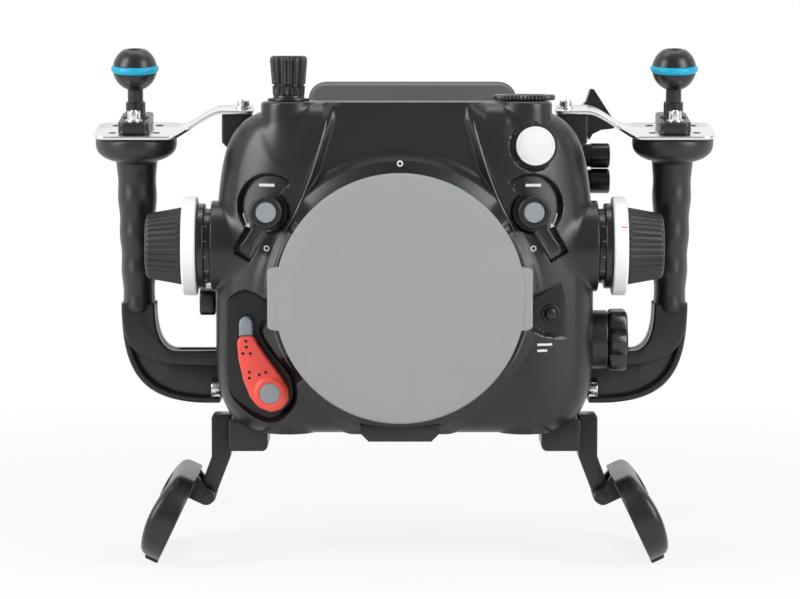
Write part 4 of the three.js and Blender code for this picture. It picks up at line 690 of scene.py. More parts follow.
def shellRows():
    angles = np.linspace(-math.pi, math.pi, shell["spokes"] + 1)
    angles[-1] = angles[0]
    outer = outlineReach(angles)
    front = np.maximum(outer, shell["bossRadius"] + shell["chamfer"])
    innerReach = outer - shell["wall"]
    cos, sin = np.cos(angles), np.sin(angles)
    rows = []

    def ring(reach, depth):
        reach = np.broadcast_to(reach, angles.shape)
        depth = np.broadcast_to(depth, angles.shape)
        rows.append(np.stack([portX + reach * cos, depth, reach * sin], axis=1))

    # the face: equal steps along each spoke's own profile, from the boss's edge to the case's edge
    share = np.linspace(0, 1, shell["samples"])[:, None]
    share = np.sin(share * math.pi / 2)
    start = shell["bossRadius"] - shell["bossStep"] - shell["bossEdge"]
    reach = start + (front - start) * share
    x, z = portX + reach * cos, reach * sin
    edge = np.clip(shell["edgeRound"] - depthInside(caseOutline, x, z), 0, shell["edgeRound"])
    plain = shell["edgeRound"] - np.sqrt(shell["edgeRound"] ** 2 - edge ** 2)
    length = np.cumsum(np.hypot(np.diff(reach, axis=0), np.diff(plain, axis=0)), axis=0)
    length = np.vstack([np.zeros(length.shape[1]), length])
    wanted = np.linspace(0, 1, shell["rings"])
    reach = np.stack([
        np.interp(wanted * length[-1, i], length[:, i], reach[:, i]) for i in range(len(angles))
    ], axis=1)
    ring(shell["boreRadius"], shell["cavityFront"])
    ring(shell["boreRadius"], shell["frontFace"])
    ring(shell["flangeRadius"], shell["frontFace"])
    ring(shell["flangeRadius"], shell["bossFace"] + shell["chamfer"])
    ring(shell["flangeRadius"] + shell["chamfer"], shell["bossFace"])
    for level in reach:
        ring(level, frontDepth(portX + level * cos, level * sin))
    edgeDepth = rows[-1][:, 1].copy()
    for step in shell["sideSteps"]:
        depth = edgeDepth + (shell["split"] - edgeDepth) * step
        ring(outer + (front - outer) * max(0, 1 - step * shell["sideBlend"]), depth)
    ring(outer, shell["split"] - shell["splitEdge"])
    ring(outer - shell["splitEdge"], shell["split"])
    ring(innerReach, shell["split"])
    ring(innerReach, shell["cavityFront"] + shell["edgeRound"] / 2)
    ring(innerReach - shell["edgeRound"] / 2, shell["cavityFront"])
    ring(shell["boreRadius"], shell["cavityFront"])
    return [row.tolist() for row in rows]


shellMesh = woven(shellRows())
print("front shell grid:", len(shellMesh.faces), "faces")
bosses = []
for x in topBoss["places"]:
    # a boss under each top control, drawn out towards the front
    radius = topBoss["radius"] - topBoss["inset"]
    boss = spun(soften([
        (0, topBoss["low"]), (radius, topBoss["low"]), (radius, topBoss["top"], 2), (0, topBoss["top"]),
    ], 2, 6), "z", sides=96)
    for vert in boss.verts:
        vert.co.y = vert.co.y - topBoss["drawn"] if vert.co.y < -weld else vert.co.y
    bosses.append(moved(boss, Matrix.Translation((x, topBoss["depth"], 0))))


def sideRod(spec, edge, steps, sides):
    # a plain boss or pin on the right side wall, along the x axis
    radius, near, far = spec["radius"], spec["near"], spec["far"]
    profile = soften([(0, near), (radius, near), (radius, far), (0, far)], edge, steps)
    return spun(profile, "x", (0, spec["depth"], spec["height"]), sides)


idlerPins = []
for side in (1, -1):
    flare = soften([
        (0, knobBoss["near"]), (knobBoss["foot"], knobBoss["near"]), (knobBoss["radius"], knobBoss["far"], 1.0),
        (0, knobBoss["far"]),
    ], 0.5, 5)
    flareMesh = spun(flare, "x", (0, knobBoss["depth"], knobBoss["height"]), 144)
    bosses.append(moved(flareMesh, sideMatrix(side)))
    idlerPins.append(moved(sideRod(idlerPin, 0.5, 4, 32), sideMatrix(side)))
bosses.append(sideRod(starBoss, 1.2, 5, 72))
padOutline = [(17.7, -81.5), (22.7, -76.5), (22.7, -72), (-22.7, -72), (-22.7, -76.5), (-17.7, -81.5)]
footMesh = prism([(portX + x, z) for x, z in padOutline], footPad["front"], footPad["back"], "y", 0.8, 3)
trayRails = [
    boxed((x - trayRail["half"], trayRail["front"], trayRail["low"]),
          (x + trayRail["half"], trayRail["back"], trayRail["high"]), 0.5)
    for x in trayRail["places"]
]
piece(
    "frontShell", joined(shellMesh, *bosses, footMesh, *trayRails, *idlerPins), "anodised", "housing",
    ("front_shell",), 40,
)
print("front shell made")

# Port cap: a flat plate that slopes back to its edge, with two lobes and the plug behind it
cap = {
    "radius": 70, "thickness": 9, "rim": 60, "plug": 54, "length": 22, "sides": 240,
    "lobeRoot": 60, "lobeReach": 74, "lobeHalf": 19, "lobeCut": 2, "lobeFront": 1.4, "lobeBack": 0.1,
}
capMesh = spun(soften([
    (0, 0), (cap["rim"], 0, 9), (cap["radius"] - 2.4, 0.75, 2), (cap["radius"] - 0.9, 0.85, 0.7),
    (cap["radius"], 2.0, 1.2), (cap["radius"], cap["thickness"], 0.6), (cap["plug"], cap["thickness"], 0.5),
    (cap["plug"], cap["length"], 1.5), (0, cap["length"]),
], 0.4, 6), "y", (portX, 0, 0), cap["sides"])
tipHalf = cap["lobeHalf"] - cap["lobeCut"]
for side in (-1, 1):
    lobe = soften([
        (side * cap["lobeRoot"], -cap["lobeHalf"], 2), (side * cap["lobeReach"], -tipHalf, 3),
        (side * cap["lobeReach"], tipHalf, 3), (side * cap["lobeRoot"], cap["lobeHalf"], 2),
    ], 2, 6, closed=True)
    lobeOutline = [(portX + x, z) for x, z in lobe]
    lobeBack = cap["thickness"] - cap["lobeBack"]
    capMesh = joined(capMesh, prism(lobeOutline, cap["lobeFront"], lobeBack, "y", 1.0, 4))
piece("portCap", capMesh, "cap", "port_cap", ("port_cap",), 30)

# Faint ring on the cap, and the white ring on the panel above it
capDot = {"z": 65.3, "radius": 1.9, "depth": 0.42}
panelDot = {"z": 75.2, "radius": 1.75, "depth": 9.1}
dotRing = [(0.55, 0), (1, 0), (1, 0.4), (0.55, 0.4)]  # shares of the radius, and depth
for name, dot, finish, body in (
    ("capIndexRing", capDot, "capMark", "port_cap"), ("panelIndexRing", panelDot, "white", "housing"),
):
    ring = [(x * dot["radius"], dot["depth"] + y) for x, y in dotRing]
    piece(name, spun(ring, "y", (portX, 0, dot["z"]), 48), finish, body)

# Lock levers: a hub with a grey disc, and an arm with a slightly wider tip
lock = {
    "hub": 9.4, "disc": 5.9, "front": 5.7, "back": 17.6, "waist": 1.6, "armFront": 7.7, "armBack": 11.7,
    "reach": 25.6,
}
lockWaist = lock["hub"] - lock["waist"]
hubProfile = soften([
    (0, lock["front"] + 0.9), (lock["disc"] + 0.25, lock["front"] + 0.9),
    (lock["disc"] + 0.25, lock["front"], 0.2), (lock["hub"] - 0.9, lock["front"], 0.9),
    (lock["hub"], lock["front"] + 1.8, 1.2), (lock["hub"], lock["back"] - 4, 0.6),
    (lockWaist, lock["back"] - 3, 0.6), (lockWaist, lock["back"], 0.3), (0, lock["back"]),
], 0.4, 4)
discProfile = soften([
    (0, lock["front"] + 0.25), (lock["disc"] - 0.5, lock["front"] + 0.25, 0.3),
    (lock["disc"], lock["front"] + 0.7, 0.3), (lock["disc"], lock["front"] + 1.2), (0, lock["front"] + 1.2),
], 0.2, 3)
armOutline = soften([
    (-3.6, -2), (-2.4, -12, 4), (-2.4, -19, 4), (-3.2, -23, 1.2), (-1.6, -lock["reach"], 1.2),
    (1.6, -lock["reach"], 1.2), (3.2, -23, 1.2), (2.4, -19, 4), (2.4, -12, 4), (5.2, -6, 3), (6.0, 0), (0, 4),
], 1.0, 4, closed=True)
for name, side in (("left", -1), ("right", 1)):
    lean = Matrix.Rotation(math.radians(-side * lockPocket["lean"]), 4, "Y")
    hubPlace = Matrix.Translation((portX + side * lockPlace[0], 0, lockPlace[1]))
    arm = prism([(side * x, z) for x, z in armOutline], lock["armFront"], lock["armBack"], "y", 1.1, 3)
    moved(arm, hubPlace @ lean)
    hub = moved(spun(hubProfile, "y", sides=96), hubPlace)
    piece(name + "LockLever", joined(hub, arm), "control", name + "_lock_lever", (name + "_lock_lever",), 30)
    disc = moved(spun(discProfile, "y", sides=72), hubPlace)
    piece(name + "LockDisc", disc, "greyDisc", name + "_lock_lever")

# Plain marks: a bar, a ring and a turning arrow at each lock, and two bars at the lens release
markDepth = 0.25
marks = {
    "lockBar": {"place": (0, 14.6), "half": (4.4, 0.8)},
    "freeRing": {"place": (0, -20.6), "radius": 1.7, "sink": 0.2},
    "releaseBars": {"place": (74.6, -26.2), "long": (8.4, 5.6), "thick": 1.3, "step": 3.4},
    "arrow": {"radius": 14.0, "first": 186, "last": 214, "point": 11, "width": 0.8, "head": 2.8, "steps": 12},
}


def onShell(mesh):
    # sets a flat mark on the shell's face
    for vert in mesh.verts:
        vert.co.y += float(frontDepth(np.array([vert.co.x]), np.array([vert.co.z]))[0])
    return mesh


def markSolid(name, outline):
    piece(name, onShell(prism(outline, -markDepth, markDepth, "y", 0)), "white", "housing")


for name, side in (("left", -1), ("right", 1)):
    hubX, hubZ = portX + side * lockPlace[0], lockPlace[1]
    barX, barZ = hubX + marks["lockBar"]["place"][0], hubZ + marks["lockBar"]["place"][1]
    halfX, halfZ = marks["lockBar"]["half"]
    markSolid(name + "LockBar", [
        (barX - halfX, barZ - halfZ), (barX + halfX, barZ - halfZ), (barX + halfX, barZ + halfZ),
        (barX - halfX, barZ + halfZ),
    ])
    arrow = marks["arrow"]
    outer = arc(0, 0, arrow["radius"], arrow["first"], arrow["last"], arrow["steps"])
    inner = arc(0, 0, arrow["radius"] - arrow["width"], arrow["last"], arrow["first"], arrow["steps"])
    middle = arrow["radius"] - arrow["width"] / 2
    wide = [arrow["radius"] + k * arrow["head"] / 2 - arrow["width"] / 2 for k in (1, -1)]
    end, tip = math.radians(arrow["last"]), math.radians(arrow["last"] + arrow["point"])
    head = [(reach * math.cos(turn), reach * math.sin(turn)) for reach, turn in (
        (wide[0], end), (middle, tip), (wide[1], end),
    )]
    markSolid(name + "LockArrow", [(hubX - side * x, hubZ + z) for x, z in outer + head + inner])

    free = marks["freeRing"]
    ringPlace = (hubX + free["place"][0], 0, hubZ + free["place"][1])
    ring = spun([(r * free["radius"], y - free["sink"]) for r, y in dotRing], "y", ringPlace, 40)
    piece(name + "FreeRing", onShell(ring), "white", "housing")
bars = marks["releaseBars"]
barX, barZ = bars["place"]
for i, long in enumerate(bars["long"]):
    low = barZ - i * bars["step"]
    markSolid("releaseBar" + str(i + 1), [
        (barX, low), (barX + long, low), (barX + long, low - bars["thick"]), (barX, low - bars["thick"]),
    ])

# Round badge: a plain white disc with a thin ring, in a groove whose shade is painted as a dark ring
badgeLift = -0.6
badgeCentre = (badgePlace[0], 0, badgePlace[1])
badgeProfile = soften([
    (0, 17.6), (8.9, 17.6), (9.05, 17.85, 0.1), (9.55, 17.85, 0.1), (9.7, 17.6, 0.1), (10.6, 17.6, 0.3),
    (11, 18.0, 0.3), (11, 18.2), (0, 18.2),
], 0.1, 2)
badgeMesh = spun([(r, y + badgeLift) for r, y in badgeProfile], "y", badgeCentre, 120)
piece("badgeDisc", badgeMesh, "white", "housing", ("badge_disc",))
# painted shade: a dark ring on the shell round the disc, for the shade in its groove
badgeGroove = spun([(10.9, 0), (12.7, 0), (12.7, -0.15), (10.9, -0.15)], "y", badgeCentre, 120)
piece("badgeGroove", onShell(badgeGroove), "darkHole", "housing")
print("cap, lock levers and badge made")

# Lens release: a domed button in its collar
releaseCentre = (releasePlace[0], 0, releasePlace[1])
releaseProfile = soften([(0, 17.5), (2.2, 17.6, 1), (3.5, 18.6, 0.8), (3.5, 34), (0, 34)], 0.3, 4)
releaseMesh = spun(releaseProfile, "y", releaseCentre, 64)
piece("lensRelease", releaseMesh, "control", "lens_release", ("lens_release_button",))
collarProfile = soften([(3.9, 19.2), (4.9, 19.2, 0.4), (5.3, 19.8, 0.3), (5.3, 21), (3.9, 21)], 0.2, 2)
piece("releaseCollar", spun(collarProfile, "y", releaseCentre, 64), "anodised", "housing")

# Painted highlights: thin pale beads on the ridges beside the panel and on the rim, painted pale to stand for
# the light on those edges
edgeLine = {
    "radius": 0.55, "sink": 0.2, "sides": 8, "low": 33, "high": 103, "count": 70, "reach": 4.2, "blur": 15,
    "rim": 72.6, "turn": (-34, 28), "turnSteps": 60, "tip": 0.05, "taper": 6,
}


def edgeBead(name, path):
    # a thin round bead on the shell's face along the path, tapered to both ends, painted pale as a highlight
    path = np.array(path)
    depths = frontDepth(path[:, 0], path[:, 1])
    tip, taper = edgeLine["tip"], edgeLine["taper"]
    turns = [2 * math.pi * (k % edgeLine["sides"]) / edgeLine["sides"] for k in range(edgeLine["sides"] + 1)]
    rows = []
    for i, ((x, z), y) in enumerate(zip(path, depths)):
        last = len(path) - 1 - i
        size = edgeLine["radius"] * min(1, tip + taper * i / len(path), tip + taper * last / len(path))
        rows.append([(x + size * math.cos(t), y + edgeLine["sink"] + size * math.sin(t), z) for t in turns])
    piece(name, woven(rows), "edgeShine", "housing")


heights = np.linspace(edgeLine["low"], edgeLine["high"], edgeLine["count"])
valleyU, valleyV = np.array(valleyShares[:-1]).T
blur = edgeLine["blur"]
for name, side in (("left", -1), ("right", 1)):
    ridge = np.interp(heights, valleyV[::-1] * valleyTop, valleyU[::-1] * valleyHalf) + edgeLine["reach"]
    ridge = np.convolve(np.pad(ridge, blur // 2, mode="edge"), np.full(blur, 1 / blur), mode="valid")
    edgeBead(name + "RidgeLine", [(portX + side * out, z) for out, z in zip(ridge, heights)])
    rim = arc(0, 0, edgeLine["rim"], *edgeLine["turn"], edgeLine["turnSteps"])
    edgeBead(name + "RimLine", [(portX + side * x, z) for x, z in rim])


def span(node):
    # the lowest and highest corner of a CAD node, in millimetres from the middle of the case
    return [(Vector(corner) - origin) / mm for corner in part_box(node)]


# Record lever: a red blade with a blue-grey pin at its tip and a grey disc on its pivot
record = {
    "front": span("record_lever")[0].y, "back": 26.7, "disc": 5.9, "crown": 8.6, "shaft": 3.9, "shaftLength": 8,
    "shaftLap": 4, "dot": 0.85, "dotDepth": 0.2, "dotLap": 0.3,
}
leverOutline = [
    (-18.7, 32.2), (-8.7, 32.2), (-6.9, 28.0), (-1.7, 20.3), (6.0, 9.9), (10.4, 2.5), (10.7, -4.0), (6.6, -9.0),
    (0.6, -10.9), (-6.7, -8.0), (-11.1, -2.4), (-14.9, 7.1), (-17.6, 19.0),
]
recordMatrix = Matrix.Translation((recordPlace[0], 0, recordPlace[1]))
recordCentre = (recordPlace[0], record["front"], recordPlace[1])
leverRound = soften(leverOutline, 6, 5, closed=True)
blade = prism(leverRound, record["front"], record["back"], "y", 1.6, 4, recordMatrix)
hub = spun(soften([
    (0, -1.0), (record["disc"] + 0.3, -1.0), (record["disc"] + 0.3, -1.6, 0.2),
    (record["crown"] - 0.8, -1.3, 0.9), (record["crown"] + 1.4, 0.3, 0.8), (record["crown"] - 2, 3), (0, 3),
], 0.3, 4), "y", recordCentre, 96)
shaftCentre = (recordPlace[0], record["back"] - record["shaftLap"], recordPlace[1])
shaft = spun([
    (0, 0), (record["shaft"], 0), (record["shaft"], record["shaftLength"]), (0, record["shaftLength"]),
], "y", shaftCentre, 32)
piece("recordLever", joined(blade, hub, shaft), "lever_red", "record_lever", ("record_lever",), 30)
pivotDisc = spun(soften([
    (0, -1.5), (record["disc"] - 0.6, -1.5, 0.3), (record["disc"], -1.1, 0.2), (record["disc"], -0.6),
    (0, -0.6),
], 0.2, 3), "y", recordCentre, 72)
piece("recordPivotDisc", pivotDisc, "greyDisc", "record_lever", ("record_lever_cap",))

# its pin, with a seal at the foot
tipLow, tipHigh = span("record_lever_tip")
tipX, tipHalf = (tipLow.x + tipHigh.x) / 2, (tipHigh.x - tipLow.x) / 2
tipArc = arc(tipX, tipHigh.z - tipHalf, tipHalf, 0, 180, 16)
pin = prism(tipArc + [(tipX - tipHalf, tipLow.z), (tipX + tipHalf, tipLow.z)], tipLow.y, tipHigh.y, "y", 1.1, 3)
piece("recordPin", pin, "lever_metal", "record_lever", ("record_lever_tip",))
pinSeal = {"proud": 0.15, "low": 0.1, "high": 1.5, "inset": 0.5}
sealLow, sealHigh = tipLow.z + pinSeal["low"], tipLow.z + pinSeal["high"]
collar = [
    (tipX - tipHalf - pinSeal["proud"], sealLow), (tipX + tipHalf + pinSeal["proud"], sealLow),
    (tipX + tipHalf + pinSeal["proud"], sealHigh), (tipX - tipHalf - pinSeal["proud"], sealHigh),
]
collarMesh = prism(collar, tipLow.y + pinSeal["inset"], tipHigh.y - pinSeal["inset"], "y", 0.3)
piece("recordPinSeal", collarMesh, "tealSeal", "record_lever")

# small dots sunk in the blade, painted dark for the shade in their holes
dots = [
    (-13.4, 29.6), (-13.1, 26.2), (-15.1, 22.6), (-10.9, 22.6), (-11.5, 12), (-11.5, 8.7), (-5.9, 10.6),
    (-2.3, 11.9),
]
dotProfile = soften([
    (0, -record["dotDepth"]), (record["dot"], -record["dotDepth"]), (record["dot"], record["dotLap"]),
    (0, record["dotLap"]),
], 0.1, 2)
dotMeshes = [
    spun(dotProfile, "y", (recordPlace[0] + x, record["front"], recordPlace[1] + z), 20) for x, z in dots
]
piece("recordDots", joined(*dotMeshes), "darkHole", "record_lever")
print("record lever made")

# Valve on the left shoulder: a round flange with a collar, and a ribbed cap
valveLow, valveHigh = span("valve_cap")
valveCentre = ((valveLow.x + valveHigh.x) / 2, (valveLow.y + valveHigh.y) / 2, 0)
valve = {"ribs": 15, "samples": 240}


def ribbed(profile, ribs, samples, axis, centre):
    # profile: radius, place along the axis and depth of the ribs there
    rows = []
    for radius, along, depth in profile:
        row = []
        for i in range(samples + 1):
            angle = 2 * math.pi * (i % samples) / samples
            groove = 0.5 + 0.5 * math.cos(ribs * angle)
            reach = radius - depth * groove ** 2.5
            row.append((reach * math.cos(angle), reach * math.sin(angle), along))
        rows.append(row)
    return woven(rows, Matrix.Translation(centre) @ planes[axis])


bottom, top = valveLow.z, valveHigh.z
valveCap = ribbed([
    (0, bottom, 0), (8.6, bottom, 0), (8.9, bottom + 0.4, 0.2), (9.1, bottom + 1.0, 0.8),
    (9.3, bottom + 5.0, 0.8), (9.35, bottom + 5.4, 0), (8.6, bottom + 5.6, 0), (8.6, bottom + 6.3, 0),
    (9.5, bottom + 6.6, 0.1), (9.6, bottom + 7.2, 1.2), (10.6, top - 3.2, 1.3), (10.6, top - 1.8, 1.1),
    (10.1, top - 0.7, 0.3), (9.2, top, 0), (7.2, top, 0), (6.9, top - 0.4, 0), (0, top - 0.4, 0),
], valve["ribs"], valve["samples"], "z", valveCentre)
piece("valveCap", valveCap, "rubber", "valve_cap", ("valve_cap",), 35)
valveFlange = spun(soften([
    (0, 96), (11, 96), (11, 109.3), (11.8, 109.3), (12, 109.6), (12, 110.8, 0.4), (8.9, 111, 0.2),
    (8.9, 112.4, 0.3), (5, 112.5), (5, 122), (0, 122),
], 0.3, 3), "z", valveCentre, 96)
piece("valveBody", valveFlange, "anodised", "housing", ("valve_body",))

# Dial on the right shoulder
dialLow, dialHigh = span("top_dial")
dialCentre = ((dialLow.x + dialHigh.x) / 2, (dialLow.y + dialHigh.y) / 2, 0)
dial = {"radius": (dialHigh.x - dialLow.x) / 2, "stem": 3, "ribs": 44, "ribDepth": 0.5, "samples": 352}
rim, top, stem = dial["radius"], dialHigh.z, dial["stem"]
dialMesh = ribbed([
    (0, top - 13, 0), (stem, top - 13, 0), (stem, top - 3.4, 0), (rim - 1.4, top - 3.4, 0),
    (rim - 0.5, top - 3.2, 0.2), (rim, top - 2.6, dial["ribDepth"]), (rim, top - 0.9, dial["ribDepth"]),
    (rim - 0.6, top - 0.2, 0.2), (rim - 1.6, top, 0), (rim - 4.5, top, 0), (rim - 5, top - 0.5, 0),
    (0, top - 0.5, 0),
], dial["ribs"], dial["samples"], "z", dialCentre)
piece("topDial", dialMesh, "control", "top_dial", ("top_dial",), 35)
print("valve and dial made")

# Handles: the grip and all above it lean forward, with heights from the pivot; the arm's are from the port
handle = {"x": 155, "y": 88, "z": -14, "lean": 8.0}
arm = {
    "case": 107.8, "turn": 112.8, "top": -36.6, "bottom": -45.9, "drop": 21.6, "inner": 145.25,
    "outer": 164.75, "upper": -9, "bend": 26, "innerBend": 13, "ease": (4.3, 8.7), "half": 12, "web": 6,
    "rim": 3.5, "rimHalf": 10, "rimEdge": 0.9,
}
grip = {
    "start": 2, "end": 89, "width": 11.85, "depth": 14.5, "taper": 2.5, "bumps": 4, "groove": 1.5,
    "sideGroove": 0.4, "foot": 0.08, "footRise": 30, "rings": 96, "sides": 96, "bore": 6.8,
    "rod": 6.7, "rodLow": -5, "rodGap": 0.3,
}
stop = {
    "top": 105, "width": 23.4, "depth": 25, "gap": 1.2, "rise": 8.5,
    "flare": (0.15, 0.3, 0.45, 0.6, 0.72, 0.82, 0.9, 0.96, 1.0),
    "edge": ((0, 2.6), (0.35, 1.3), (1.1, 0.5), (2.2, 0.1), (3.4, 0), (16, 0)),  # shrink and drop
}


def leaning(side):
    # from heights over the pivot to the leaning handle's place
    place = Matrix.Translation((side * handle["x"], handle["y"], handle["z"]))
    return place @ Matrix.Rotation(math.radians(handle["lean"]), 4, "X")


def curve(start, first, second, end, steps):
    points = []
    for i in range(steps + 1):
        t = i / steps
        points.append(tuple(
            a * (1 - t) ** 3 + 3 * b * t * (1 - t) ** 2 + 3 * c * t * t * (1 - t) + d * t ** 3
            for a, b, c, d in zip(start, first, second, end)
        ))
    return points


def sweepEdge(low, outer, steps=40):
    # the lower outer edge of the frame, from its top end at the grip round to the case
    bend = arm["bend"]
    middle = (arm["top"] + low) / 2
    start, end = (outer, arm["top"] + bend), (arm["turn"], low)
    return curve(start, (outer, middle), (outer - bend / 2, low), end, steps) + [(arm["case"], low)]


def sweepTop(steps=14):
    # the upper inner edge of the frame, from the case to the grip
    t = arm["top"]
    inner = arm["inner"]
    sideEase, upEase = arm["ease"]
    start, end = (inner - arm["innerBend"], t), (inner, t + arm["bend"])
    return [(arm["case"], t)] + curve(start, (inner - sideEase, t), (inner, t + upEase), end, steps)


def oval(width, depth, front, height, sides):
    # a ring of points; its front half is squeezed by front
    row = []
    for i in range(sides + 1):
        angle = 2 * math.pi * (i % sides) / sides
        y = depth * math.sin(angle)
        row.append((width * math.cos(angle), y * front if y < 0 else y, height))
    return row


def handleFrame():
    # the upper band, the web below it and the thin rim round the web
    low, depth = arm["bottom"] - arm["drop"], handle["y"]
    top = sweepTop() + [(arm["inner"], arm["upper"]), (arm["outer"], arm["upper"])]
    bandEdge = sweepEdge(arm["bottom"], arm["outer"])
    lowEdge = sweepEdge(low, arm["outer"])
    band = prism(top + bandEdge, depth - arm["half"], depth + arm["half"], "y", 2.2, 5)
    web = prism(top + lowEdge, depth - arm["web"], depth + arm["web"], "y", 0.6, 2)
    rimInside = sweepEdge(low + arm["rim"], arm["outer"] - arm["rim"])
    # half a section of the rim: how far in from its face, and the share across it
    corners = [(arm["rimEdge"], 0), (0, 0.25), (0, 0.75), (arm["rimEdge"], 1)]
    section = [(-arm["rimHalf"] + into, share) for into, share in corners]
    section += [(arm["rimHalf"] - into, share) for into, share in reversed(corners)]
    rim = woven([
        [(a[0] + (b[0] - a[0]) * share, depth + along, a[1] + (b[1] - a[1]) * share)
         for a, b in zip(lowEdge, rimInside)]
        for along, share in section + section[:1]
    ])
    bmesh.ops.holes_fill(rim, edges=[edge for edge in rim.edges if edge.is_boundary], sides=0)
    bmesh.ops.recalc_face_normals(rim, faces=rim.faces)
    return joined(band, web, rim)


def gripRows():
    # rings of the grip with its finger bumps, the stop on top and the bore back down
    sides = grip["sides"]
    rows = []
    for i in range(grip["rings"] + 1):
        share = i / grip["rings"]
        groove = grip["groove"] * (0.5 - 0.5 * math.cos(2 * math.pi * grip["bumps"] * share))
        soft = 1 - grip["foot"] * (1 - min(1, share * grip["footRise"])) ** 2
        width = (grip["width"] - grip["taper"] * (1 - share) - grip["sideGroove"] * groove) * soft
        height = grip["start"] + share * (grip["end"] - grip["start"])
        rows.append(oval(width, grip["depth"] * soft, 1 - groove / grip["depth"], height, sides))
    for share in stop["flare"]:
        lift = 1 - math.sqrt(1 - share ** 2)
        width = grip["width"] + (stop["width"] - grip["width"]) * share
        depth = grip["depth"] + (stop["depth"] - grip["depth"]) * share
        rows.append(oval(width, depth, 1, grip["end"] + stop["gap"] + stop["rise"] * lift, sides))
    for shrink, drop in stop["edge"]:
        rows.append(oval(stop["width"] - shrink, stop["depth"] - shrink, 1, stop["top"] - drop, sides))
    rows.append(oval(grip["bore"], grip["bore"], 1, stop["top"], sides))
    rows.append([(x, y, grip["start"]) for x, y, z in rows[-1]])
    rows.append(list(rows[0]))
    return rows


rodLow, rodTop = grip["rodLow"], stop["top"] - grip["rodGap"]
for name, side in (("left", -1), ("right", 1)):
    rod = spun([(0, rodLow), (grip["rod"], rodLow), (grip["rod"], rodTop), (0, rodTop)], "z", sides=32)
    frameMesh = joined(moved(handleFrame(), sideMatrix(side)), moved(rod, leaning(side)))
    piece(name + "HandleFrame", frameMesh, "anodised", "housing", (name + "_handle_frame",), 35)
    piece(name + "Grip", moved(woven(gripRows()), leaning(side)), "rubber", "housing", (name + "_grip",), 40)
print("grips and frames made")

# Strap and plate: one bent bright sheet; its plan is cut out flat, then raised over the bend
plate = {
    "low": 105.3, "thick": 2, "half": 23.4, "depth": 24, "corner": 10, "neck": 7, "neckCurve": 9,
    "slots": ((-12.6, -12), (12.6, -12), (-12.6, 13), (12.6, 13)), "slotRadius": 2.3, "slotHeight": 0.4,
    "slotSink": 0.34,
}
strap = {
    "inner": 87, "bend": 106, "half": 11, "flat": 117.9, "rise": 0.35, "cuts": 30, "cutEnd": 24, "screwX": 93,
}
ballBase = {"low": 107.6, "high": 114.4, "width": 9, "depth": 20, "corner": 5, "screwY": 13}
ball = {
    "foot": 7.6, "shoulder": 7.2, "stem": 5.65, "neck": 4.45, "step": 123.4, "height": 142.6,
    "radius": 12.7, "flat": 6.35, "seal": 11.3, "section": 2.4, "socket": 3.4, "socketDepth": 5,
}
strapScrew = ((3.6, 4.6), (5.0, 1.0))  # radius and height of the head and of its washer
baseScrew = ((3.7, 6.0), (4.9, 1.1))


def sheetLift(x):
    # height of the sheet at x: flat on the handle, bent up to the strap over the case
    far, near = handle["x"] - plate["half"], strap["bend"]
    share = min(1.0, max(0.0, (far - x) / (far - near)))
    smooth = share * share * (3 - 2 * share)
    blend = strap["rise"] * share + (1 - strap["rise"]) * smooth
    return plate["low"] + (strap["flat"] - plate["low"]) * blend


def bentSheet(side):
    half, depth = plate["half"], plate["depth"]
    inner = strap["inner"] - handle["x"]
    rear = [
        (half, depth, plate["corner"]), (-half + 1, depth, plate["neckCurve"]),
        (-half - plate["neck"], strap["half"], 5), (inner, strap["half"], 4),
    ]
    front = [(x, -y, corner) for x, y, corner in reversed(rear)]
    plan = soften(front + rear, 4, 7, closed=True)
    sheet = prism([(side * x, y) for x, y in plan], 0, plate["thick"], "z", 0.35, 2)
    for step in range(1, strap["cuts"]):
        x = side * (inner + (half - strap["cutEnd"] - inner) * step / strap["cuts"])
        bmesh.ops.bisect_plane(
            sheet, geom=sheet.verts[:] + sheet.edges[:] + sheet.faces[:], dist=1e-5, plane_co=(x, 0, 0),
            plane_no=(1, 0, 0),
        )
    for vert in sheet.verts:
        vert.co.z += sheetLift(side * vert.co.x + handle["x"])
    return sheet


def onBall(first, last, steps):
    # points on the ball's round outline between two angles
    return [
        (ball["radius"] * math.cos(a), ball["height"] + ball["radius"] * math.sin(a))
        for a in [first + (last - first) * i / steps for i in range(steps + 1)]
    ]


# ball mount: base block, stepped stem, ball with a groove for its seal and a socket on top
baseShape = soften([
    (-ballBase["width"], -ballBase["depth"]), (ballBase["width"], -ballBase["depth"]),
    (ballBase["width"], ballBase["depth"]), (-ballBase["width"], ballBase["depth"]),
], ballBase["corner"], 7, closed=True)
grooveHalf = ball["section"] + 0.1
grooveAngle = math.asin(grooveHalf / ball["radius"])
grooveRadius = ball["seal"] - ball["section"] - 0.1
topAngle = math.acos(ball["flat"] / ball["radius"])
topZ = ball["height"] + ball["radius"] * math.sin(topAngle)
ballProfile = [
    (0, ballBase["high"] - 2), (ball["foot"], ballBase["high"] - 2), (ball["foot"], ballBase["high"] + 0.8),
    (ball["shoulder"], ballBase["high"] + 1.2), (ball["stem"], ballBase["high"] + 1.3),
    (ball["stem"], ball["step"] - 0.5), (ball["stem"] - 0.5, ball["step"]), (ball["neck"], ball["step"] + 0.1),
]
ballProfile += onBall(-math.acos(ball["neck"] / ball["radius"]), -grooveAngle, 18)
ballProfile += [(grooveRadius, ball["height"] - grooveHalf), (grooveRadius, ball["height"] + grooveHalf)]
ballProfile += onBall(grooveAngle, topAngle, 14)
ballProfile += [
    (4.6, topZ + 0.1), (4.3, topZ - 0.4), (ball["socket"], topZ - 0.6),
    (ball["socket"], topZ - ball["socketDepth"]), (0, topZ - ball["socketDepth"]),
]
sealRing = [
    (ball["seal"] + ball["section"] * math.cos(a), ball["height"] + ball["section"] * math.sin(a))
    for a in [2 * math.pi * i / 28 for i in range(28)]
]
frameScrew = {
    "x": 107.2, "y": 76.6, "z": -58.8, "radius": 4.8, "height": 5.2, "boss": 5.6, "bossLow": 96,
    "bossHigh": 107.1,
}

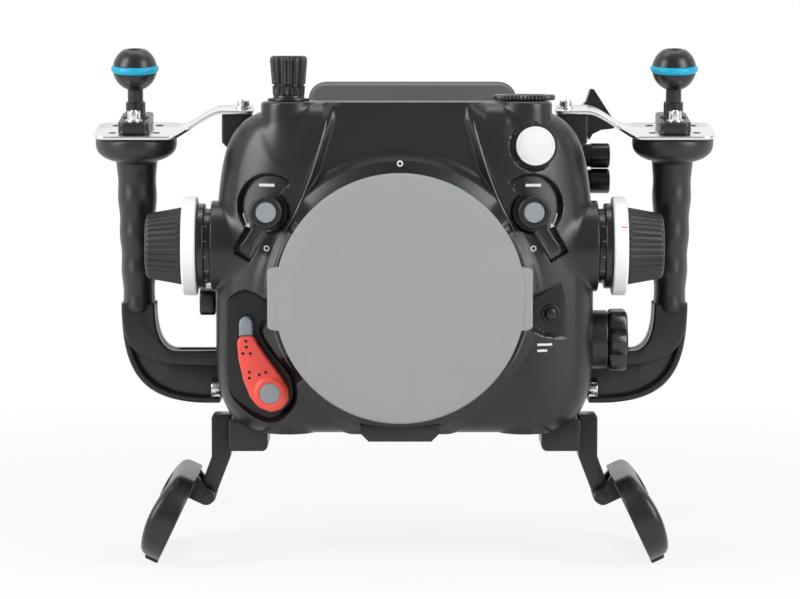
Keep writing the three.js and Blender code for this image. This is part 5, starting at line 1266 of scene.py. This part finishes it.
for name, side in (("left", -1), ("right", 1)):
    lean = leaning(side)
    piece(name + "Strap", moved(bentSheet(side), lean), "steel", "housing", (name + "_strap",), 35)
    slotAt = plate["low"] + plate["thick"] - plate["slotSink"]
    radius, height = plate["slotRadius"], plate["slotHeight"]
    slots = [
        spun([(0, 0), (radius, 0), (radius, height), (0, height)], "z", (x, y, slotAt), 40)
        for x, y in plate["slots"]
    ]
    # painted shade: dark discs in the plate's slots stand for the shade in them
    piece(name + "PlateHoles", moved(joined(*slots), lean), "darkHole", "housing")
    screws = []
    for x, y, z, sizes in (
        (side * (strap["screwX"] - handle["x"]), 0, strap["flat"] + plate["thick"], strapScrew),
        (0, -ballBase["screwY"], ballBase["high"], baseScrew),
        (0, ballBase["screwY"], ballBase["high"], baseScrew),
    ):
        screws += [capScrew(radius, height, (x, y, z - 0.1), (0, 0, 1)) for radius, height in sizes]
    piece(name + "MountScrews", moved(joined(*screws), lean), "steel", "housing")

    baseMesh = prism(baseShape, ballBase["low"], ballBase["high"], "z", 1.0, 3)
    mountMesh = joined(baseMesh, spun(ballProfile, "z", sides=112))
    piece(name + "BallMount", moved(mountMesh, lean), "anodised", "housing", (name + "_ball_mount",), 30)
    sealMesh = moved(spun(sealRing, "z", sides=128), lean)
    piece(name + "BallSeal", sealMesh, "seal_blue", "housing", (name + "_ball_seal",), 60)

    # the frame's screw beside the case, on a small boss
    screwPlace = (side * frameScrew["x"], frameScrew["y"], frameScrew["z"])
    screwMesh = capScrew(frameScrew["radius"], frameScrew["height"], screwPlace, (side, 0, 0), 48)
    piece(name + "FrameScrew", screwMesh, "steel", "housing")
    bossMesh = spun([
        (0, frameScrew["bossLow"]), (frameScrew["boss"], frameScrew["bossLow"]),
        (frameScrew["boss"], frameScrew["bossHigh"]), (0, frameScrew["bossHigh"]),
    ], "x", (0, frameScrew["y"], frameScrew["z"]), 48)
    piece(name + "FrameBoss", moved(bossMesh, sideMatrix(side)), "anodised", "housing")
print("straps and ball mounts made")

# Focus knobs: index disc with its marks, white marking ring and a ribbed cone
knob = {"ribs": 34, "ribDepth": 0.75, "samples": 272, "marks": 15, "longEvery": 5}
indexMark = {"short": 1.5, "long": 2.6, "half": 0.22, "low": 21.1, "high": 21.55, "gap": 0.4, "offset": 0.3}
redTick = {"half": 1.9, "thick": 0.6, "low": 27.9, "high": 28.32, "turn": 64, "lead": 0.4}
knobCentre = (0, knobBoss["depth"], knobBoss["height"])


def sideReach(node, side):
    # how far out a CAD node on that side starts and ends
    low, high = span(node)
    return (low.x, high.x) if side > 0 else (-high.x, -low.x)


for name, side in (("left", -1), ("right", 1)):
    matrix = sideMatrix(side)
    body = name + "_focus"
    discNear, discFar = sideReach(name + "_index_disc", side)
    neck = discFar - 4
    discMesh = spun(soften([
        (5.7, discNear), (21.3, discNear, 0.3), (21.3, neck - 0.4, 0.2), (23.9, neck - 0.3, 0.3),
        (24.35, neck + 0.4, 0.4), (24.35, discFar - 0.8, 0.4), (23.6, discFar, 0.3), (5.7, discFar),
    ], 0.2, 3), "x", knobCentre, 160)
    piece(name + "IndexDisc", moved(discMesh, matrix), "control", body, (name + "_index_disc",))
    ticks = []
    for i in range(knob["marks"]):
        angle = 2 * math.pi * (i + indexMark["offset"]) / knob["marks"]
        turn = Matrix.Translation(knobCentre) @ Matrix.Rotation(angle, 4, "X")
        long = indexMark["short"] if i % knob["longEvery"] else indexMark["long"]
        far = neck - indexMark["gap"]
        ticks.append(boxed(
            (far - long, -indexMark["half"], indexMark["low"]), (far, indexMark["half"], indexMark["high"]),
            0.05, 1, turn,
        ))
    piece(name + "IndexMarks", moved(joined(*ticks), matrix), "white", body)

    ringNear, ringFar = sideReach(name + "_marking_ring", side)
    ringMesh = spun(soften([
        (12.6, ringNear), (27.7, ringNear, 0.4), (28.2, ringNear + 0.7, 0.5), (28.2, ringFar - 1.0, 0.8),
        (27.2, ringFar, 0.6), (12.6, ringFar),
    ], 0.3, 4), "x", knobCentre, 192)
    # the marking ring takes the lighter white, painted light for the shade it falls in
    piece(name + "MarkingRing", moved(ringMesh, matrix), "ringWhite", body, (name + "_marking_ring",))
    if side > 0:
        turn = Matrix.Translation(knobCentre) @ Matrix.Rotation(math.radians(redTick["turn"]), 4, "X")
        near = (ringNear + ringFar) / 2 - redTick["lead"]
        tick = boxed(
            (near, -redTick["thick"] / 2, redTick["low"]),
            (near + 2 * redTick["half"], redTick["thick"] / 2, redTick["high"]), 0.05, 1, turn,
        )
        piece(name + "RedTick", tick, "redPaint", body)

    knobNear, knobFar = sideReach(name + "_focus_knob", side)
    start = ringFar + 0.3
    cone = ribbed([
        (0, knobNear, 0), (12, knobNear, 0), (12, start, 0), (21.3, start, 0), (21.8, start + 0.3, 0.1),
        (22, start + 1.2, 0.6), (21.8, start + 2.2, knob["ribDepth"]), (18.9, knobFar - 2.4, knob["ribDepth"]),
        (18.6, knobFar - 1.3, 0.4), (17.7, knobFar - 0.4, 0), (16.6, knobFar, 0), (14.2, knobFar, 0),
        (13.8, knobFar - 0.6, 0), (0, knobFar - 0.6, 0),
    ], knob["ribs"], knob["samples"], "x", knobCentre)
    piece(name + "FocusKnob", moved(cone, matrix), "rubber", body, (name + "_focus_knob",), 35)

# Star knob of the right latch: six rounded lobes
starLow, starHigh = span("right_latch_knob")
starCentre = (0, starBoss["depth"], starBoss["height"])
star = {"radius": 19, "valley": 3.6, "lobes": 6, "samples": 180, "front": starHigh.x - 11, "shaft": 4, "lap": 1}
starRows = []
# share of the radius, share of the valley's cut, and place along the axis
for reach, cut, along in (
    (0, 0, 0), (0.8, 1, 0), (0.94, 1, 0.5), (1.0, 1, 1.8), (1.0, 1, 9), (0.95, 1, 10.4), (0.84, 0.9, 11),
    (0.52, 0.4, 11), (0.48, 0.2, 10.2), (0, 0, 10.2),
):
    row = []
    for i in range(star["samples"] + 1):
        angle = 2 * math.pi * (i % star["samples"]) / star["samples"]
        lobe = (0.5 + 0.5 * math.cos(star["lobes"] * angle)) ** 0.6
        r = reach * (star["radius"] - cut * star["valley"] * (1 - lobe))
        row.append((r * math.cos(angle), r * math.sin(angle), star["front"] + along))
    starRows.append(row)
starMesh = woven(starRows, Matrix.Translation(starCentre) @ planes["x"])
shaftEnd = star["front"] + star["lap"]
starShaft = spun([
    (0, starLow.x), (star["shaft"], starLow.x), (star["shaft"], shaftEnd), (0, shaftEnd),
], "x", starCentre, 32)
piece("starKnob", joined(starMesh, starShaft), "control", "right_latch", ("right_latch_knob",), 35)

# Left latch: a bar on a round foot
latch = {"bar": 9, "round": 5.5, "foot": 4, "footLength": 14, "footStart": 7, "depth": 82, "height": -8}
latchLow, latchHigh = span("left_latch")
latchBar = soften([
    (latchLow.y, latchLow.z), (latchHigh.y, latchLow.z), (latchHigh.y, latchHigh.z), (latchLow.y, latchHigh.z),
], latch["round"], 6, closed=True)
latchMesh = prism(latchBar, latchLow.x, latchLow.x + latch["bar"], "x", 1.2, 3)
latchFoot = spun(soften([
    (0, 0), (latch["foot"], 0), (latch["foot"], latch["footLength"]), (0, latch["footLength"]),
], 0.4), "x", (0, latch["depth"], latch["height"]), 48)
moved(latchFoot, Matrix.Translation((latchLow.x + latch["footStart"], 0, 0)))
piece("leftLatch", joined(latchMesh, latchFoot), "control", "left_latch", ("left_latch",))

# Side buttons: a head whose skirt slides over its boss
sideButton = {"radius": 7.35, "bore": 6.95, "stem": 2, "under": 6.0, "skirt": 11.2}
for level in ("upper", "lower"):
    node = "side_button_" + level
    low, high = span(node)
    under, skirt = high.x - sideButton["under"], high.x - sideButton["skirt"]
    profile = soften([
        (0, low.x), (sideButton["stem"], low.x), (sideButton["stem"], under), (sideButton["bore"], under),
        (sideButton["bore"], skirt), (sideButton["radius"], skirt, 0.2), (sideButton["radius"], high.x, 1.6),
        (0, high.x),
    ], 0.1, 4)
    place = (0, (low.y + high.y) / 2, (low.z + high.z) / 2)
    piece("sideButton" + level.capitalize(), spun(profile, "x", place, 72), "control", node, (node,))
print("knobs and latches made")

# Legs: brackets under the case and folding stadium loops with rubber soles
leg = {
    "x": 114, "y": 60, "z": -117.5, "splay": 25.4, "length": 110, "half": 25.25, "bar": 10, "near": 9.0,
    "far": 20.6, "rise": 8.25, "edge": 1.2, "outer": 6, "bulge": 4.2, "steps": 44,
    "lug": 5, "lugGap": 0.3, "lugWidth": 6.3, "lugLap": 2, "sole": 2.2, "soleGap": 0.1,
}
bracket = {
    "half": 10, "blockFront": 42, "blockBack": 78, "shoulder": 5.3, "knuckle": 5.5, "pin": 2.7, "pinHalf": 16.4,
}


def stadium(half, reach, middle):
    # round-ended loop in depth and height; reach is half its straight length
    front = arc(-reach, middle, half, 90, 270, leg["steps"])
    rear = arc(reach, middle, half, -90, 90, leg["steps"])
    return front + rear


def legLoop(straight):
    # the bar's rounded section carried round the loop, swelling outwards at mid height
    near, far, rise = leg["near"], leg["far"], leg["rise"]
    section = soften([
        (0, near, leg["edge"]), (0, far, leg["outer"]), (leg["bar"], far, leg["edge"]),
        (leg["bar"], near, leg["edge"]),
    ], leg["edge"], 7, closed=True)
    rows = []
    for inset, x in section + section[:1]:
        loop = stadium(leg["half"] - inset, straight, rise - leg["half"])
        row = []
        for y, z in loop + loop[:1]:
            share = (rise - z) / (2 * leg["half"])
            swell = leg["bulge"] * math.sin(math.pi * min(1, max(0, share))) * (x - near) / (far - near)
            row.append((x + swell, y, z))
        rows.append(row)
    return woven(rows)


def legLug(end):
    # one of the two lugs that hold the loop beside the bracket
    near, rise = leg["near"] + leg["lugLap"], leg["rise"]
    outline = arc(0, 0, leg["lug"], 70, 265, 14) + [(near, -leg["lug"]), (near, rise), (leg["near"], rise)]
    ends = sorted(end * (bracket["half"] + size) for size in (leg["lugGap"], leg["lugWidth"]))
    return prism(outline, *ends, "y", 0.8, 3)


def legBracket():
    # block under the case, plate down to the pivot, knuckle and pin
    x, z = leg["x"], leg["z"]
    front, back = leg["y"] - bracket["half"], leg["y"] + bracket["half"]
    block = prism(soften([
        (78.4, -73), (100.6, -73), (100.6, -91), (80.4, -91, 3), (78.4, -89, 3),
    ], 1.2, 3, closed=True), bracket["blockFront"], bracket["blockBack"], "y", 1.2, 3)
    down = prism(soften([
        (100, -71.2), (111, -71.2, 2), (111, -95, 4), (x + bracket["shoulder"], z, 2),
        (x - bracket["shoulder"], z, 2), (100, -95, 4),
    ], 1, 4, closed=True), front, back, "y", 1.2, 3)
    rods = []
    for radius, low, high, edge, sides in (
        (bracket["knuckle"], front, back, 0.6, 64),
        (bracket["pin"], leg["y"] - bracket["pinHalf"], leg["y"] + bracket["pinHalf"], 0.4, 48),
    ):
        profile = soften([(0, low), (radius, low), (radius, high), (0, high)], edge, 3)
        rods.append(spun(profile, "y", (x, 0, z), sides))
    return joined(block, down, *rods)


straight = leg["length"] / 2 - leg["half"]
soleTop = leg["rise"] - 2 * leg["half"] - leg["soleGap"]
soleOutline = soften([
    (leg["near"], soleTop), (leg["near"], soleTop - leg["sole"]), (leg["far"] - 4, soleTop - leg["sole"]),
    (leg["far"] - 3, soleTop),
], 0.7, 3, closed=True)
for name, side in (("left", -1), ("right", 1)):
    body = name + "_leg"
    splay = Matrix.Rotation(math.radians(-leg["splay"]), 4, "Y")
    stand = sideMatrix(side) @ Matrix.Translation((leg["x"], leg["y"], leg["z"])) @ splay
    loopMesh = joined(legLoop(straight), legLug(-1), legLug(1))
    piece(name + "LegLoop", moved(loopMesh, stand), "anodised", body, (name + "_leg_loop",), 35)
    sole = prism(soleOutline, -straight, straight, "y", 0.3)
    piece(name + "LegPad", moved(sole, stand), "rubber", body, (name + "_leg_pad",))
    bracketMesh = moved(legBracket(), sideMatrix(side))
    piece(name + "LegBracket", bracketMesh, "anodised", "housing", (name + "_leg_bracket",), 32)
print("legs made")

# Remaining CAD pieces: edges welded and softened
softEdges = {
    "back_cover": 1.4, "left_gusset": 1.2, "right_gusset": 1.2, "eyepiece": 1.0, "menu_button": 0.7,
    "play_button": 0.7, "info_button": 0.7, "control_wheel": 0.7, "thumb_lever": 0.9, "camera_tray": 0.6,
    "tray_screw": 0.5,
}
for nodeName, width in softEdges.items():
    node = frame["nodes"][nodeName]
    welding = node.modifiers.new("weld", "WELD")
    welding.merge_threshold = 1e-5
    softening = node.modifiers.new("soften", "BEVEL")
    softening.width = width * mm
    softening.segments = 3
    softening.limit_method = "ANGLE"
    softening.angle_limit = math.radians(35)
    softening.harden_normals = True
print("edges softened")
